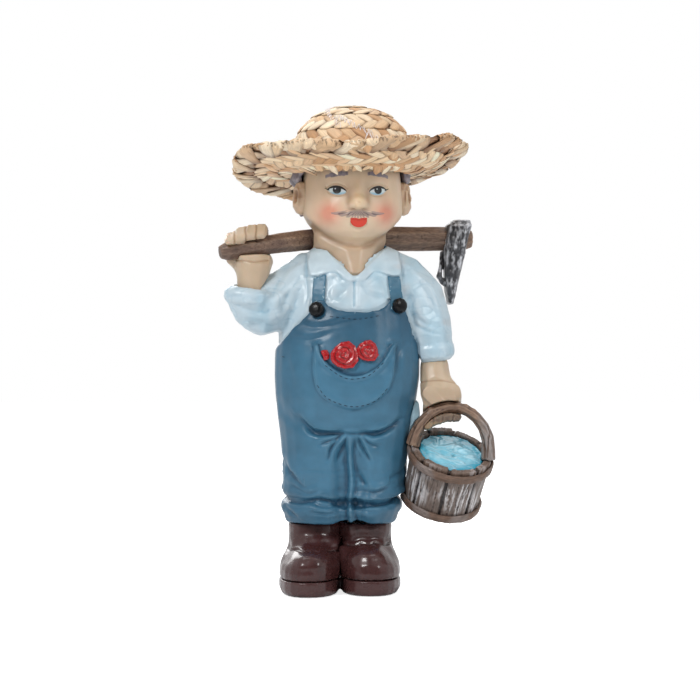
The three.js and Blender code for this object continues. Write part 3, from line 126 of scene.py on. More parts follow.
def build_floor():
    mesh = bpy.data.meshes.new("floor")
    half, drop = 3.0, -0.0004
    corners = [(-half, -half, drop), (half, -half, drop), (half, half, drop), (-half, half, drop)]
    mesh.from_pydata(corners, [], [(0, 1, 2, 3)])
    mat = bpy.data.materials.new("floor_paper")
    mat.use_nodes = True
    tree = mat.node_tree
    camera_ray = shader(tree, "LightPath").outputs["Is Camera Ray"]
    glow = shader(tree, "Math", {0: camera_ray, 1: 0.78}, operation="MULTIPLY").outputs[0]
    paper = {"Base Color": (0.9, 0.9, 0.9, 1), "Roughness": 0.9, "Specular IOR Level": 0.0}
    feed(tree, tree.nodes["Principled BSDF"], {**paper, "Emission Color": (1, 1, 1, 1), "Emission Strength": glow})
    mesh.materials.append(mat)
    floor = added("floor", mesh)


build_world()
build_floor()


# Numbers

def lattice(i, seed):
    h = (i[:, 0] * 374761393 + i[:, 1] * 668265263 + i[:, 2] * 1440670441 + seed * 1274126177) & 0xFFFFFFFF
    h = ((h ^ (h >> 13)) * 1274126177) & 0xFFFFFFFF
    return ((h ^ (h >> 16)) & 0xFFFF) / 32767.5 - 1


def noise(p, size=1.0, seed=0):
    """Smooth noise from -1 to 1 with features of a size, which may differ along X, Y and Z."""
    q = np.asarray(p, float) / size
    i = np.floor(q).astype(np.int64)
    f = q - i
    f = f * f * (3 - 2 * f)
    out = np.zeros(len(q))
    for corner in np.ndindex(2, 2, 2):
        c = np.array(corner)
        out += np.prod(np.where(c, f, 1 - f), axis=1) * lattice(i + c, seed)
    return out


def layered(p, size, octaves=3, seed=0):
    size = np.asarray(size, float)
    return sum(noise(p, size / 2**k, seed + 17 * k) / 2**k for k in range(octaves)) / (2 - 0.5 ** (octaves - 1))


def bump(value, middle, width):
    return np.exp(-(((value - middle) / width) ** 2))


def ramp(value, low, high):
    t = np.clip((value - low) / (high - low), 0, 1)
    return t * t * (3 - 2 * t)


def curve_through(points, count=24):
    """Points of a smooth line through a few points."""
    p = np.asarray(points, float)
    p = np.vstack([2 * p[0] - p[1], p, 2 * p[-1] - p[-2]])
    out = []
    for t in np.linspace(0, len(p) - 3 - 1e-9, count):
        k = int(t)
        u = t - k
        a, b, c, d = p[k : k + 4]
        out.append(0.5 * (2 * b + (c - a) * u + (2 * a - 5 * b + 4 * c - d) * u * u + (3 * b - a - 3 * c + d) * u**3))
    return np.array(out)


def beside(x, z, line):
    """Signed distance from a line of [x, z] points, above it when it runs to the right, and the share along it."""
    q = np.stack([x, z], 1)
    best = np.full(len(q), 1e9)
    sign = np.ones(len(q))
    along = np.zeros(len(q))
    steps = len(line) - 1
    for k in range(steps):
        a, d = line[k], line[k + 1] - line[k]
        r = q - a
        t = np.clip((r @ d) / (d @ d), 0, 1)
        gap = r - t[:, None] * d
        dist = np.hypot(gap[:, 0], gap[:, 1])
        near = dist < best
        best = np.where(near, dist, best)
        sign = np.where(near, np.sign(d[0] * r[:, 1] - d[1] * r[:, 0]), sign)
        along = np.where(near, (k + t) / steps, along)
    return best * np.where(sign == 0, 1, sign), along


def srgb(r, g, b):
    c = np.array([r, g, b], float) / 255
    return np.where(c <= 0.04045, c / 12.92, ((c + 0.055) / 1.055) ** 2.4)


def mixed(a, b, t):
    t = np.clip(np.asarray(t), 0, 1)[:, None]
    return a * (1 - t) + b * t


def painted(base, *coats):
    """The paint on each point: a base colour, then coats over it, each a colour and how much of it covers."""
    colour = srgb(*base)
    for tint, share in coats:
        colour = mixed(colour, srgb(*tint), share)
    return colour


def cracks(field, width):
    """Thin lines where a noise passes zero."""
    return ramp(-np.abs(field), -width, 0)


# Skins

class Skin:
    """A dense mesh that is shaped point by point, in millimetres."""

    def __init__(self, mesh):
        self.mesh = mesh
        self.read()

    def read(self):
        co = np.empty(len(self.mesh.vertices) * 3)
        self.mesh.vertices.foreach_get("co", co)
        self.p = co.reshape(-1, 3) / MM
        e = np.empty(len(self.mesh.edges) * 2, np.int32)
        self.mesh.edges.foreach_get("vertices", e)
        self.e = e.reshape(-1, 2)

    def write(self):
        self.mesh.vertices.foreach_set("co", (self.p * MM).ravel())
        self.mesh.update()

    def normals(self):
        self.write()
        n = np.empty(len(self.p) * 3)
        self.mesh.vertices.foreach_get("normal", n)
        return n.reshape(-1, 3)

    def relaxed(self, times, keep):
        """The points after smoothing. keep holds the size of the form."""
        count = len(self.p)
        a, b = self.e.T
        share = 1 / np.maximum(np.bincount(self.e.ravel(), minlength=count), 1)

        def step(p, weight):
            mean = np.stack([np.bincount(a, p[b, k], count) + np.bincount(b, p[a, k], count) for k in range(3)], 1)
            return p + weight * (mean * share[:, None] - p)

        p = self.p
        for _ in range(times):
            p = step(p, 0.5)
            if keep:
                p = step(p, -0.515)
        return p

    def relax(self, times, keep=True, where=None):
        p = self.relaxed(times, keep)
        self.p = p if where is None else self.p + (p - self.p) * where[:, None]

    def push(self, height):
        self.p = self.p + self.normals() * np.asarray(height)[..., None]

    def hollow(self, times, settle=0):
        """Settles the skin and gives how deep each point lies below a smoother one. Ridges are negative."""
        self.relax(settle, keep=False)
        return ((self.relaxed(times, False) - self.p) * self.normals()).sum(1)

    def finer(self):
        self.write()
        self.mesh = changed(self.mesh, "SUBSURF", levels=1, render_levels=1)
        self.read()


def changed(mesh, kind, **settings):
    """The mesh with one modifier applied."""
    ob = added("work", mesh)
    modifier = ob.modifiers.new("work", kind)
    for key, value in settings.items():
        setattr(modifier, key, value)
    made = bpy.data.meshes.new_from_object(ob.evaluated_get(bpy.context.evaluated_depsgraph_get()))
    bpy.data.objects.remove(ob)
    return made


def skin_of(nodes, voxel, relax, grow=0.0, finer=False):
    """An even skin over CAD nodes, smoothed at about the size of a few voxels."""
    bm = bmesh.new()
    for node in nodes:
        bm.from_mesh(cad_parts[node].data)
    bmesh.ops.remove_doubles(bm, verts=bm.verts, dist=1e-6)
    if grow:
        bm.normal_update()
        for v in bm.verts:
            v.co += v.normal * grow * MM
    mesh = bpy.data.meshes.new("work")
    bm.to_mesh(mesh)
    bm.free()
    skin = Skin(changed(mesh, "REMESH", mode="VOXEL", voxel_size=voxel * MM, adaptivity=0.0))
    skin.relax(relax)
    if finer:
        skin.finer()
    return skin


def mesh_from(points, faces):
    mesh = bpy.data.meshes.new("work")
    mesh.from_pydata((np.asarray(points) * MM).tolist(), [], faces)
    mesh.update()
    return mesh


def grid_faces(rows, columns, closed=False):
    faces = []
    for low in range(0, (rows - 1) * columns, columns):
        for c in range(columns if closed else columns - 1):
            d = (c + 1) % columns
            faces.append((low + c, low + d, low + columns + d, low + columns + c))
    return faces


def put(name, skin, look, colours, nodes=(), grain=None, slot=None):
    """The finished piece: its paint as a colour on each point, its material and its body.
    grain is where each point lies in the wood or straw, in millimetres and squashed along the fibres."""
    mesh = skin
    if isinstance(skin, Skin):
        skin.write()
        mesh = skin.mesh
    mesh.name = name
    rgba = np.ones((len(mesh.vertices), 4))
    rgba[:, :3] = np.clip(colours, 0, 1)
    layer = mesh.color_attributes.new("paint", "FLOAT_COLOR", "POINT")
    layer.data.foreach_set("color", rgba.ravel())
    if grain is not None:
        layer = mesh.attributes.new("grain", "FLOAT_VECTOR", "POINT")
        layer.data.foreach_set("vector", np.asarray(grain, float).ravel())
    mesh.materials.clear()
    mesh.materials.append(looks[look])
    mesh.polygons.foreach_set("use_smooth", np.ones(len(mesh.polygons), bool))
    slot = slot or look
    ob = added(name, mesh)
    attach(ob, "root")
    if nodes:
        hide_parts(*nodes)
    return ob


def tree_of(ob):
    return BVHTree.FromPolygons([v.co for v in ob.data.vertices], [tuple(f.vertices) for f in ob.data.polygons])


def gap_to(points, node):
    """How far each point lies from the surface of a CAD node, in millimetres."""
    tree = tree_of(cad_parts[node])
    return np.array([tree.find_nearest(Vector(p))[3] for p in points * MM]) / MM


# Materials

def varnished(name, roughness, coat=0.0, mottle=(3.0, 0.08), grain=(0.5, 0.03), uneven=0.06, subsurface=0.0,
              blur=0.1, shine=0.5):
    """Painted resin. mottle and grain are a feature size in millimetres with how much it changes
    the colour and how deep it is."""
    mat = bpy.data.materials.new(name)
    mat.use_nodes = True
    tree = mat.node_tree
    place = shader(tree, "TexCoord").outputs["Object"]

    def cloud(size, detail):
        return shader(tree, "TexNoise", {"Vector": place, "Scale": 1 / (size * MM), "Detail": detail}).outputs["Fac"]

    patches = cloud(mottle[0], 4)
    paint = shader(tree, "Attribute", attribute_name="paint").outputs["Color"]
    mottled = {0: paint, "Scale": ranged(tree, patches, 1 - mottle[1], 1 + mottle[1])}
    relief = {"Distance": grain[1] * MM, "Height": cloud(grain[0], 3)}
    feed(tree, tree.nodes["Principled BSDF"], {
        "Base Color": shader(tree, "VectorMath", mottled, operation="SCALE").outputs["Vector"],
        "Roughness": ranged(tree, patches, roughness - uneven, roughness + uneven),
        "Normal": shader(tree, "Bump", relief).outputs["Normal"],
        "Specular IOR Level": shine,
        "Coat Weight": coat,
        "Coat Roughness": blur,
        "Subsurface Weight": subsurface,
        "Subsurface Scale": 0.002,
    })
    return mat


def fibrous(mat, size, low, high, depth):
    """Fine fibres along each piece's grain: their size, the range of their tone and their depth."""
    tree = mat.node_tree
    bsdf = tree.nodes["Principled BSDF"]
    along = shader(tree, "Attribute", attribute_name="grain").outputs["Vector"]
    fibres = shader(tree, "TexNoise", {"Vector": along, "Scale": 1 / size, "Detail": 3}).outputs["Fac"]
    base = bsdf.inputs["Base Color"].links[0].from_socket
    streaked = {0: base, "Scale": ranged(tree, fibres, low, high, start=0.34)}
    feed(tree, bsdf, {
        "Base Color": shader(tree, "VectorMath", streaked, operation="SCALE").outputs["Vector"],
        "Normal": shader(tree, "Bump", {"Distance": depth * MM, "Height": fibres}).outputs["Normal"],
    })
    return mat


looks = {
    "skin": varnished("skin_varnish", 0.4, coat=0.15, mottle=(6, 0.04), grain=(1.6, 0.03), subsurface=0.12, blur=0.25),
    "shirt": varnished("shirt_varnish", 0.36, coat=0.2, mottle=(5, 0.05), grain=(1.4, 0.05), blur=0.2),
    "denim": varnished("denim_varnish", 0.42, coat=0.16, mottle=(7, 0.09), grain=(2.2, 0.06), blur=0.24, shine=0.36),
    "boot": varnished("boot_varnish", 0.27, coat=0.3, mottle=(5, 0.08), grain=(3.5, 0.05), uneven=0.04, blur=0.08,
                      shine=0.36),
    "button": varnished("button_varnish", 0.34, coat=0.1, mottle=(1.5, 0.2), grain=(1.0, 0.05), shine=0.2),
    "rose": varnished("rose_varnish", 0.25, coat=0.4, mottle=(1.5, 0.12), grain=(0.8, 0.03)),
    "hair": varnished("hair_paint", 0.5, coat=0.1, mottle=(1.2, 0.2), grain=(0.5, 0.05)),
    "wood": fibrous(varnished("bark_paint", 0.5, coat=0.1, mottle=(2.0, 0.15)), 0.42, 0.72, 1.22, 0.16),
    "iron": varnished("iron_paint", 0.36, coat=0.2, mottle=(1.0, 0.25), grain=(0.45, 0.08)),
    "water": varnished("water_varnish", 0.18, coat=0.5, mottle=(2, 0.06), grain=(1.2, 0.05)),
    "straw": fibrous(varnished("straw", 0.6, mottle=(2.5, 0.06), uneven=0.08), 0.35, 0.86, 1.08, 0.1),
}


# Boots

BOOT_X, SOLE_X = 12.4, 13  # from the middle to the centre of each boot and sole


def boots():
    dark = (34, 20, 21)
    for side, node in ((-1, "right_boot"), (1, "left_boot")):
        skin = skin_of([node], 0.75, relax=26, finer=True)
        middle = side * BOOT_X
        # the toe cap is a ball that narrows towards the crease
        cap = ramp(skin.p[:, 2], 10, 21) * ramp(-skin.p[:, 1], 11, 19)
        skin.p[:, 0] += (middle - skin.p[:, 0]) * 0.24 * cap
        x, y, z = skin.p.T
        front = ramp(-y, 2, 9)
        crease = 20.4 + 1.0 * side - 0.014 * (x - middle) ** 2 + 0.25 * np.sin(x * 0.9)
        deep = -1.5 * bump(z, crease + 1.4, 1.8) * front - 1.2 * bump(z, crease, 0.55) * front
        deep += 1.5 * bump(z, crease - 4.4, 2.8) * front * (1 - ramp(np.abs(x - middle), 2, 10))
        # the boots meet in a closed seam
        deep += 1.1 * ramp(-x * side, -3.2, -0.4) * ramp(z, 5.4, 7.4)
        skin.push(deep)
        h = skin.hollow(14, settle=2)
        # painted shade in the creases and hollows, darker patches, painted shade on the inner side where the boots
        # meet, and lighter paint on the ridges
        colour = painted(
            (68, 39, 38),
            (dark, ramp(h, 0.0, 0.35) * 0.9),
            (dark, 0.25 * ramp(layered(skin.p, 7, 2, 3), -0.1, 0.7) + 0.4 * ramp(-x * side, -1.4, -0.2)),
            ((88, 62, 60), ramp(-h, 0.12, 0.5) * 0.4),
        )
        put(node + "_form", skin, "boot", colour, [node])
    skin = skin_of(["soles"], 0.55, relax=10)
    x, y, z = skin.p.T
    # the lower edge is rounded off
    x += (np.sign(x) * SOLE_X - x) * 0.07 * ramp(3 - z, 0, 3) * ramp(np.abs(x), 8, 18)
    skin.push(-0.25 * bump(z, 1.2 + 0.6 * noise(skin.p, 6, 5), 0.7) * (noise(skin.p, (2.2, 2.2, 9), 8) > 0.1))
    h = skin.hollow(10, settle=2)
    # painted shade in the sole's hollows, and darker in patches towards the ground
    low = ramp(1.6 - z, 0, 1.6) * (0.5 + 0.5 * noise(skin.p, 2.4, 4))
    put("sole_form", skin, "boot", painted((74, 46, 45), (dark, ramp(h, 0, 0.3) + low * 0.8)), ["soles"])


# Overalls

BODY_X = 3  # the middle of the body

FOLDS = [
    # line of [x, z], width, depth and how much the cloth above the line stands proud
    ([(-17.5, 74), (-14.5, 70.6), (-10.5, 67.6), (-3.5, 67), (1, 67.8)], 1.3, 2.1, 0.8),
    ([(9, 67.6), (15, 67), (20.5, 68.8), (26, 73)], 1.2, 2.1, 0.8),
    ([(-12, 69.4), (-4, 67.6), (5, 67), (14, 67.8), (21, 70)], 0.8, 0.7, 0.4),
    ([(1, 66.5), (-2.6, 64.6), (-8.4, 62.6)], 0.8, 1.3, 0.4),
    ([(0.6, 66), (-3.2, 61.4), (-5, 56)], 0.9, 1.5, 0.4),
    ([(2.8, 66), (1.4, 61), (-0.4, 56)], 0.8, 1.1, 0.3),
    ([(7.4, 66), (9.6, 60.6), (13, 55.4)], 0.8, 1.4, 0.4),
    ([(9.2, 66.6), (12.4, 63), (17, 61.6)], 0.8, 1.0, 0.4),
    ([(6, 66), (7, 61), (8.6, 57)], 0.5, 0.4, 0.1),
    ([(-24, 56), (-21.6, 50), (-17, 45.6), (-13.6, 43.6)], 1.1, 1.1, 0.5),
    ([(6.6, 53.6), (8.8, 47.6), (13.4, 43.4)], 1.0, 0.8, 0.3),
    ([(-24, 36.6), (-20.6, 33.8), (-17.4, 31.4)], 0.9, 0.9, 0.3),
    ([(-13, 34.2), (-6, 33.4), (0, 33.8)], 0.6, 0.5, 0.2),
    ([(7, 36), (11.6, 34.6), (16, 34.2)], 0.6, 0.5, 0.2),
    ([(-21, 45.6), (-14, 42), (-8, 43.4)], 0.9, 0.8, 0.5),
    ([(9, 43.6), (15, 42.4), (23, 46)], 0.9, 0.8, 0.5),
    ([(-12, 38), (-6, 36.4), (0, 37.6)], 0.8, 0.7, 0.4),
    ([(12, 38.6), (18, 37), (24, 38.4)], 0.8, 0.7, 0.4),
    ([(-19, 114.6), (-10, 111.8), (2, 114.2), (12, 117)], 1.3, 0.45, 0.35),
    ([(-22.6, 108), (-12, 106.8), (-2, 110.4)], 1.4, 0.4, 0.3),
    ([(28.6, 106), (25, 101), (24.4, 94)], 1.2, 0.5, 0.3),
    ([(-23, 100), (-20.4, 92), (-20, 84)], 1.6, 0.4, 0.3),
]
BACK_FOLDS = [
    ([(-18, 73), (-8, 68), (3, 66.6), (14, 68), (24, 73)], 1.5, 1.3, 0.6),
    ([(2, 66), (-3, 61), (-10, 58)], 1.0, 0.8, 0.3),
    ([(6, 66), (11, 61), (18, 58)], 1.0, 0.8, 0.3),
    ([(-24, 51), (-15, 47.6), (-7, 49.6)], 1.2, 0.9, 0.4),
    ([(10, 49.4), (18, 47.4), (28, 51)], 1.2, 0.9, 0.4),
    ([(-20, 96), (-6, 92.6), (8, 93.4), (24, 97)], 1.6, 0.5, 0.4),
    ([(-12, 104), (2, 101.6), (16, 104)], 1.4, 0.4, 0.3),
]
POCKET_MOUTH = [(-9.4, 105.2), (-6, 97.6), (4.4, 91.6), (15.6, 95), (22.6, 105.4)]
POCKET_BOTTOM = [(-10.8, 104), (-11, 92), (-7, 82.8), (6.8, 77.8), (19.6, 84.6), (23, 94), (23.6, 104)]


def folded(x, z, points, width, depth, lip):
    """A crease along a line, with a lip of cloth above it."""
    s, along = beside(x, z, curve_through(points))
    fade = np.sin(np.pi * np.clip(along, 0.02, 0.98)) ** 0.5
    return fade * (lip * bump(s, 1.7 * width, 1.5 * width) - depth * bump(s, 0, width))


def overalls():
    nodes = ["overalls", "bib_pocket"]
    skin = skin_of(nodes, 0.85, relax=34, grow=0.5, finer=True)
    skin.push(-0.45)
    x, y, z = skin.p.T
    across = np.abs(x - BODY_X)
    angle = np.arctan2(y, x - BODY_X)
    front = ramp(-y, 1, 8)
    lift = np.zeros(len(x))
    for folds, facing, half, reach in ((FOLDS, front, y < 4, 22), (BACK_FOLDS, ramp(y, 1, 8), y > 0, 12)):
        for points, *fold in folds:
            near = (np.abs(z - np.mean([q[1] for q in points])) < reach) & half
            lift[near] += facing[near] * folded(x[near], z[near], points, *fold)
    # the legs part at a seam, in front and behind
    seam = 4.5 + 0.3 * np.sin(z * 0.3)
    legs = 1 - ramp(z, 60, 67)
    lift += front * legs * (-1.7 * bump(x, seam - 3.4, 3.0) - 1.7 * bump(x, seam + 3.6, 3.1) + 0.5 * bump(x, seam, 0.7))
    lift -= front * legs * 0.9 * (bump(x, seam - 1.8, 0.9) + bump(x, seam + 1.8, 0.9))
    lift += (y > 4) * legs * (-1.4 * bump(x, 4, 2.2) + 0.5 * bump(x, 4, 0.8))
    # rolled cuffs
    level = np.stack([angle * 9, z * 0, z * 0], 1)
    cuff = 39.6 + 1.1 * np.cos(2 * angle) + 0.7 * np.sin(3 * angle + 0.6) + 1.0 * noise(level, 3.2, 8)
    s = z - cuff
    roll = 1.2 * bump(s, 2.0, 1.7) - 1.8 * bump(s, -0.5, 0.95)
    lift += (0.9 + 0.4 * noise(level, 4, 9)) * roll + 0.4 * bump(s, -4.6, 2.2)
    lift += 0.35 * layered(np.stack([angle * 9, z * 1.6, z * 0], 1), 4, 2, 21) * (z < 52)
    # creases at the sides of the knees
    lift += -0.5 * (np.abs(y) < 18) * bump(z, 56 - 9 * np.abs(y) / 18, 1.6) * (across > 18)
    # the pocket on the bib
    s = beside(x, z, curve_through(POCKET_BOTTOM, 40))[0]
    lift += front * (z < 104) * (0.25 * bump(s, 1.2, 1.2) - 0.25 * bump(s, -0.6, 0.6))
    s = beside(x, z, curve_through(POCKET_MOUTH, 40))[0]
    lift += front * (z < 105) * (-0.8 * bump(s, 0.7, 0.7) + 0.35 * bump(s, -0.8, 0.7) - 0.22 * bump(s, -2.6, 0.4))
    lift += 0.1 * layered(skin.p, 7, 2, 2) + 0.4 * ramp(z, 106, 112) * ramp(across, 17, 22)
    skin.push(lift)
    h = skin.hollow(12, settle=2)
    chips = (layered(skin.p, 0.9, 2, 12) > 0.5) & (h < -0.06) & (z > 112)
    # painted shade in the creases and hollows, painted highlights on the ridges, patches of another blue, darker on the
    # bib's front, painted shade towards the sides and above the cuffs, and chipped paint on the upper ridges
    colour = painted(
        (64, 113, 140),
        ((22, 56, 80), ramp(h, 0.02, 0.3) * 0.9),
        ((36, 76, 102), ramp(skin.hollow(60), 0.05, 0.7) * 0.7),
        ((98, 142, 166), ramp(-h, 0.03, 0.3) * 0.5),
        ((44, 96, 122), 0.5 * ramp(layered(skin.p, (16, 16, 9), 3, 6), -0.1, 0.6)),
        ((26, 64, 88), front * ramp(z, 98, 115) * 0.6),
        ((38, 76, 100), ramp(across, 14, 27) * 0.35 + ramp(46 - z, 0, 5) * 0.3),
        ((176, 198, 205), chips * 0.7),
    )
    return put("overalls_form", skin, "denim", colour, nodes)


def on_front(tree, x, z, lift):
    """Where a line of sight along +Y meets a piece, lifted off it."""
    hit, normal, _, _ = tree.ray_cast(Vector((x * MM, -0.2, z * MM)), Vector((0, 1, 0)))
    return np.array(hit) / MM + np.array(normal) * lift if hit else None


def tube(points, radius, sides=6):
    """A thin thread with narrower ends, as points and faces."""
    p = np.asarray(points, float)
    along = np.gradient(p, axis=0)
    along /= np.linalg.norm(along, axis=1)[:, None]
    side = np.cross(along, (0.13, 0.31, 0.94))
    side /= np.linalg.norm(side, axis=1)[:, None]
    top = np.cross(side, along)
    turn = np.linspace(0, 2 * np.pi, sides, endpoint=False)[:, None]
    radii = np.full(len(p), radius)
    radii[[0, -1]] *= 0.4
    rings = p[:, None] + radii[:, None, None] * (np.cos(turn) * side[:, None] + np.sin(turn) * top[:, None])
    last = (len(p) - 1) * sides
    ends = [tuple(range(sides))[::-1], tuple(range(last, last + sides))]
    return rings.reshape(-1, 3), grid_faces(len(p), sides, closed=True) + ends


def gathered(parts):
    """Several (points, faces) as one."""
    points, faces, start = [], [], 0
    for p, f in parts:
        points.append(p)
        faces.extend(tuple(start + i for i in face) for face in f)
        start += len(p)
    return np.vstack(points), faces


def way_along(line):
    """How far along a line each of its points lies."""
    return np.concatenate([[0], np.cumsum(np.hypot(*np.diff(line, axis=0).T))])


SEAMS = [
    [(-4.5, 116.4), (2, 115.6), (6.4, 115.2), (11, 115.6), (17.5, 117)],
    [(-6.4, 96.2), (0, 91.6), (5, 90.2), (12, 91.6), (19, 97.6)],
    [(-9.6, 88), (-5.6, 82.6), (1.4, 79.4), (8, 78.8), (15.4, 81.4), (21, 87.6)],
    [(-25, 99.6), (-21.5, 99)],
]


def stitches(ob):
    """Short dark dashes of a machine seam along the neckline and round the pocket."""
    tree = tree_of(ob)
    random = np.random.default_rng(4)
    parts = []
    for points in SEAMS:
        line = curve_through(points, 200)
        length = way_along(line)
        at = 0.4
        while at + 1.4 < length[-1]:
            run = 1.25 + 0.3 * random.random()
            stops = np.linspace(at, at + run, 4)
            places = zip(np.interp(stops, length, line[:, 0]), np.interp(stops, length, line[:, 1]))
            dash = [on_front(tree, x, z, 0.03) for x, z in places]
            if all(place is not None for place in dash):
                parts.append(tube(dash, 0.17))
            at += run + 1.0
    put("overalls_stitches", mesh_from(*gathered(parts)), "button", srgb(28, 48, 66), slot="denim")


def straps():
    for side in ("right", "left"):
        nodes = [side + "_strap", side + "_back_strap"]
        skin = skin_of(nodes, 0.35, relax=10, grow=0.12)
        y, z = skin.p[:, 1:].T
        # both lower ends reach down to the cloth
        for half in (y < 0, y >= 0):
            skin.p[half, 2] -= 1.5 * ramp(z[half].min() + 2.6 - z[half], 0, 2.6)
        skin.push(0.12 * layered(skin.p, 1.6, 2, 5))
        h = skin.hollow(12, settle=1)
        chips = (layered(skin.p, 0.8, 2, 9) > 0.42) & (h < -0.03)
        # painted shade in the hollows, and chipped paint on the ridges
        colour = painted((60, 106, 130), ((26, 62, 86), ramp(h, 0.0, 0.2)), ((190, 212, 220), chips * 0.7))
        put(side + "_strap_form", skin, "denim", colour, nodes)


def buttons():
    for node in ("right_strap_button", "left_strap_button"):
        skin = skin_of([node], 0.22, relax=14)
        # a painted highlight where the button stands out
        colour = painted((14, 14, 16), ((40, 40, 44), ramp(-skin.hollow(20), 0.04, 0.2) * 0.5))
        put(node + "_form", skin, "button", colour, [node])


# Shirt

SHIRT_FOLDS = [
    ([(-22, 137), (-27, 129), (-29, 121)], 1.3, 0.7, 0.4),
    ([(-17, 133), (-21.5, 126), (-24, 118)], 1.2, 0.6, 0.4),
    ([(-31, 113.6), (-36, 113), (-41, 115.6)], 1.3, 0.6, 0.3),
    ([(-28, 119), (-34, 118), (-40, 119.6)], 1.1, 0.7, 0.4),
    ([(34, 131), (38.6, 124), (41, 117)], 1.3, 0.5, 0.4),
    ([(30, 120), (35, 114), (42, 111.6)], 1.2, 0.7, 0.4),
    ([(31, 113.6), (37, 110.4), (44, 109)], 1.0, 0.6, 0.3),
    ([(29, 127), (31, 119), (32, 110)], 1.3, 0.6, 0.3),
    ([(9, 131), (12, 126), (18, 124.4)], 1.2, 0.4, 0.3),
    ([(3, 128), (-1, 124), (-4, 123)], 1.1, 0.4, 0.3),
    ([(4.6, 130.8), (1.2, 132), (-2.2, 135), (-6, 134.2), (-10, 133), (-14.6, 134)], 0.7, 0.7, 0.5),
    ([(26.6, 134), (22.4, 133), (18.8, 134.2), (15, 135), (11.6, 132), (8.2, 130.8)], 0.7, 0.7, 0.5),
    ([(-14.2, 146), (-14.6, 138), (-13.8, 126), (-14.6, 121)], 0.8, 0.5, 0.2),
    ([(28, 120), (27.2, 126), (26.8, 138), (25, 146)], 0.8, 0.5, 0.2),
    ([(-3.2, 130), (-5, 126), (-3, 121.4), (1.6, 119.6)], 1.0, 0.35, 0.3),
    ([(15.6, 131), (19, 127), (18.6, 122), (14, 119.4)], 1.0, 0.35, 0.3),
]


def shirt():
    nodes = ["shirt_body", "right_collar", "left_collar", "right_sleeve", "left_sleeve", "right_cuff", "left_cuff"]
    skin = skin_of(nodes, 0.75, relax=20, grow=0.18, finer=True)
    skin.push(-0.14)
    x, y, z = skin.p.T
    front = ramp(-y, -2, 4)
    lift = 0.3 * layered(skin.p, (7, 7, 9), 3, 31)
    for fold in SHIRT_FOLDS:
        lift += front * folded(x, z, *fold)
    placket = (z < 131) & (np.abs(x - 6.5) < 4)
    lift += front * placket * (-0.6 * bump(x, 6.0, 0.4) + 0.35 * bump(x, 7.6, 0.8))
    # the shirt is drawn in where the overalls lie over it
    under = (z < 124) & (np.abs(x - BODY_X) < 34)
    close = gap_to(skin.p[under], "overalls")
    lift[under] = lift[under] * ramp(close, 0.8, 3) - 0.5 * (1 - ramp(close, 0.4, 1.4))
    crumple = cracks(layered(skin.p / (1.3, 1, 0.8), 5.5, 2, 77), 0.1) * ramp(np.abs(x - 5), 18, 26)
    skin.push(lift - 0.16 * crumple)
    h = skin.hollow(12, settle=2)
    # painted shade in the creases, hollows and crumples, painted highlights on the ridges, then grey and pale blue
    # patches
    colour = painted(
        (184, 203, 213),
        ((116, 156, 178), ramp(h, 0.0, 0.3) * 0.85),
        ((146, 182, 200), ramp(skin.hollow(60), 0.0, 0.8) * 0.5),
        ((146, 178, 196), crumple * 0.22),
        ((210, 219, 224), ramp(-h, 0.0, 0.25) * 0.6),
        ((176, 176, 178), ramp(layered(skin.p, (9, 9, 6), 3, 41), 0.12, 0.6) * 0.4),
        ((150, 190, 208), ramp(layered(skin.p / (1, 1, 1.6), 8, 2, 52), 0.1, 0.6) * 0.45),
    )
    put("shirt_form", skin, "shirt", colour, nodes)
    skin = skin_of(["pocket_cloth"], 0.35, relax=12)
    skin.push(0.3 * layered(skin.p, (2.2, 2.2, 7), 2, 3))
    # painted shade in the hollows
    colour = painted((158, 190, 204), ((104, 146, 164), ramp(skin.hollow(8), 0, 0.15)))
    put("pocket_cloth_form", skin, "shirt", colour, ["pocket_cloth"])


# Head

HEAD_X, CHIN, TURN, HEAD_HEIGHT = 5.2, 148.4, 0.12, 48.5
EYE_Z, EYE_X, BROW_Z = 0.43 * HEAD_HEIGHT, 8.7, 0.565 * HEAD_HEIGHT
MOUTH_Z, LIP_Z = 0.16 * HEAD_HEIGHT, 0.235 * HEAD_HEIGHT
EYE_HALF, MOUTH_HALF, WING = 3.8, 3.5, 11.2  # half an eye, half the mouth and a wing of the moustache


def in_head(p):
    """Places in the head's own frame: across the face, out of its back and up from the chin."""
    c, s = math.cos(TURN), math.sin(TURN)
    x, y = p[:, 0] - HEAD_X, p[:, 1]
    return np.stack([c * x + s * y, -s * x + c * y, p[:, 2] - CHIN], 1)


def closer(skin, where):
    """Splits the faces whose corners all pass a test of their points."""
    skin.write()
    chosen = where(skin.p)
    bm = bmesh.new()
    bm.from_mesh(skin.mesh)
    bm.verts.ensure_lookup_table()
    edges = [e for e in bm.edges if chosen[e.verts[0].index] and chosen[e.verts[1].index]]
    bmesh.ops.subdivide_edges(bm, edges=edges, cuts=1, use_grid_fill=True)
    bm.to_mesh(skin.mesh)
    bm.free()
    skin.mesh.update()
    skin.read()


def dome(value, half):
    """1 in the middle and 0 from half the width on."""
    return np.clip(1 - (value / half) ** 2, 0, 1)


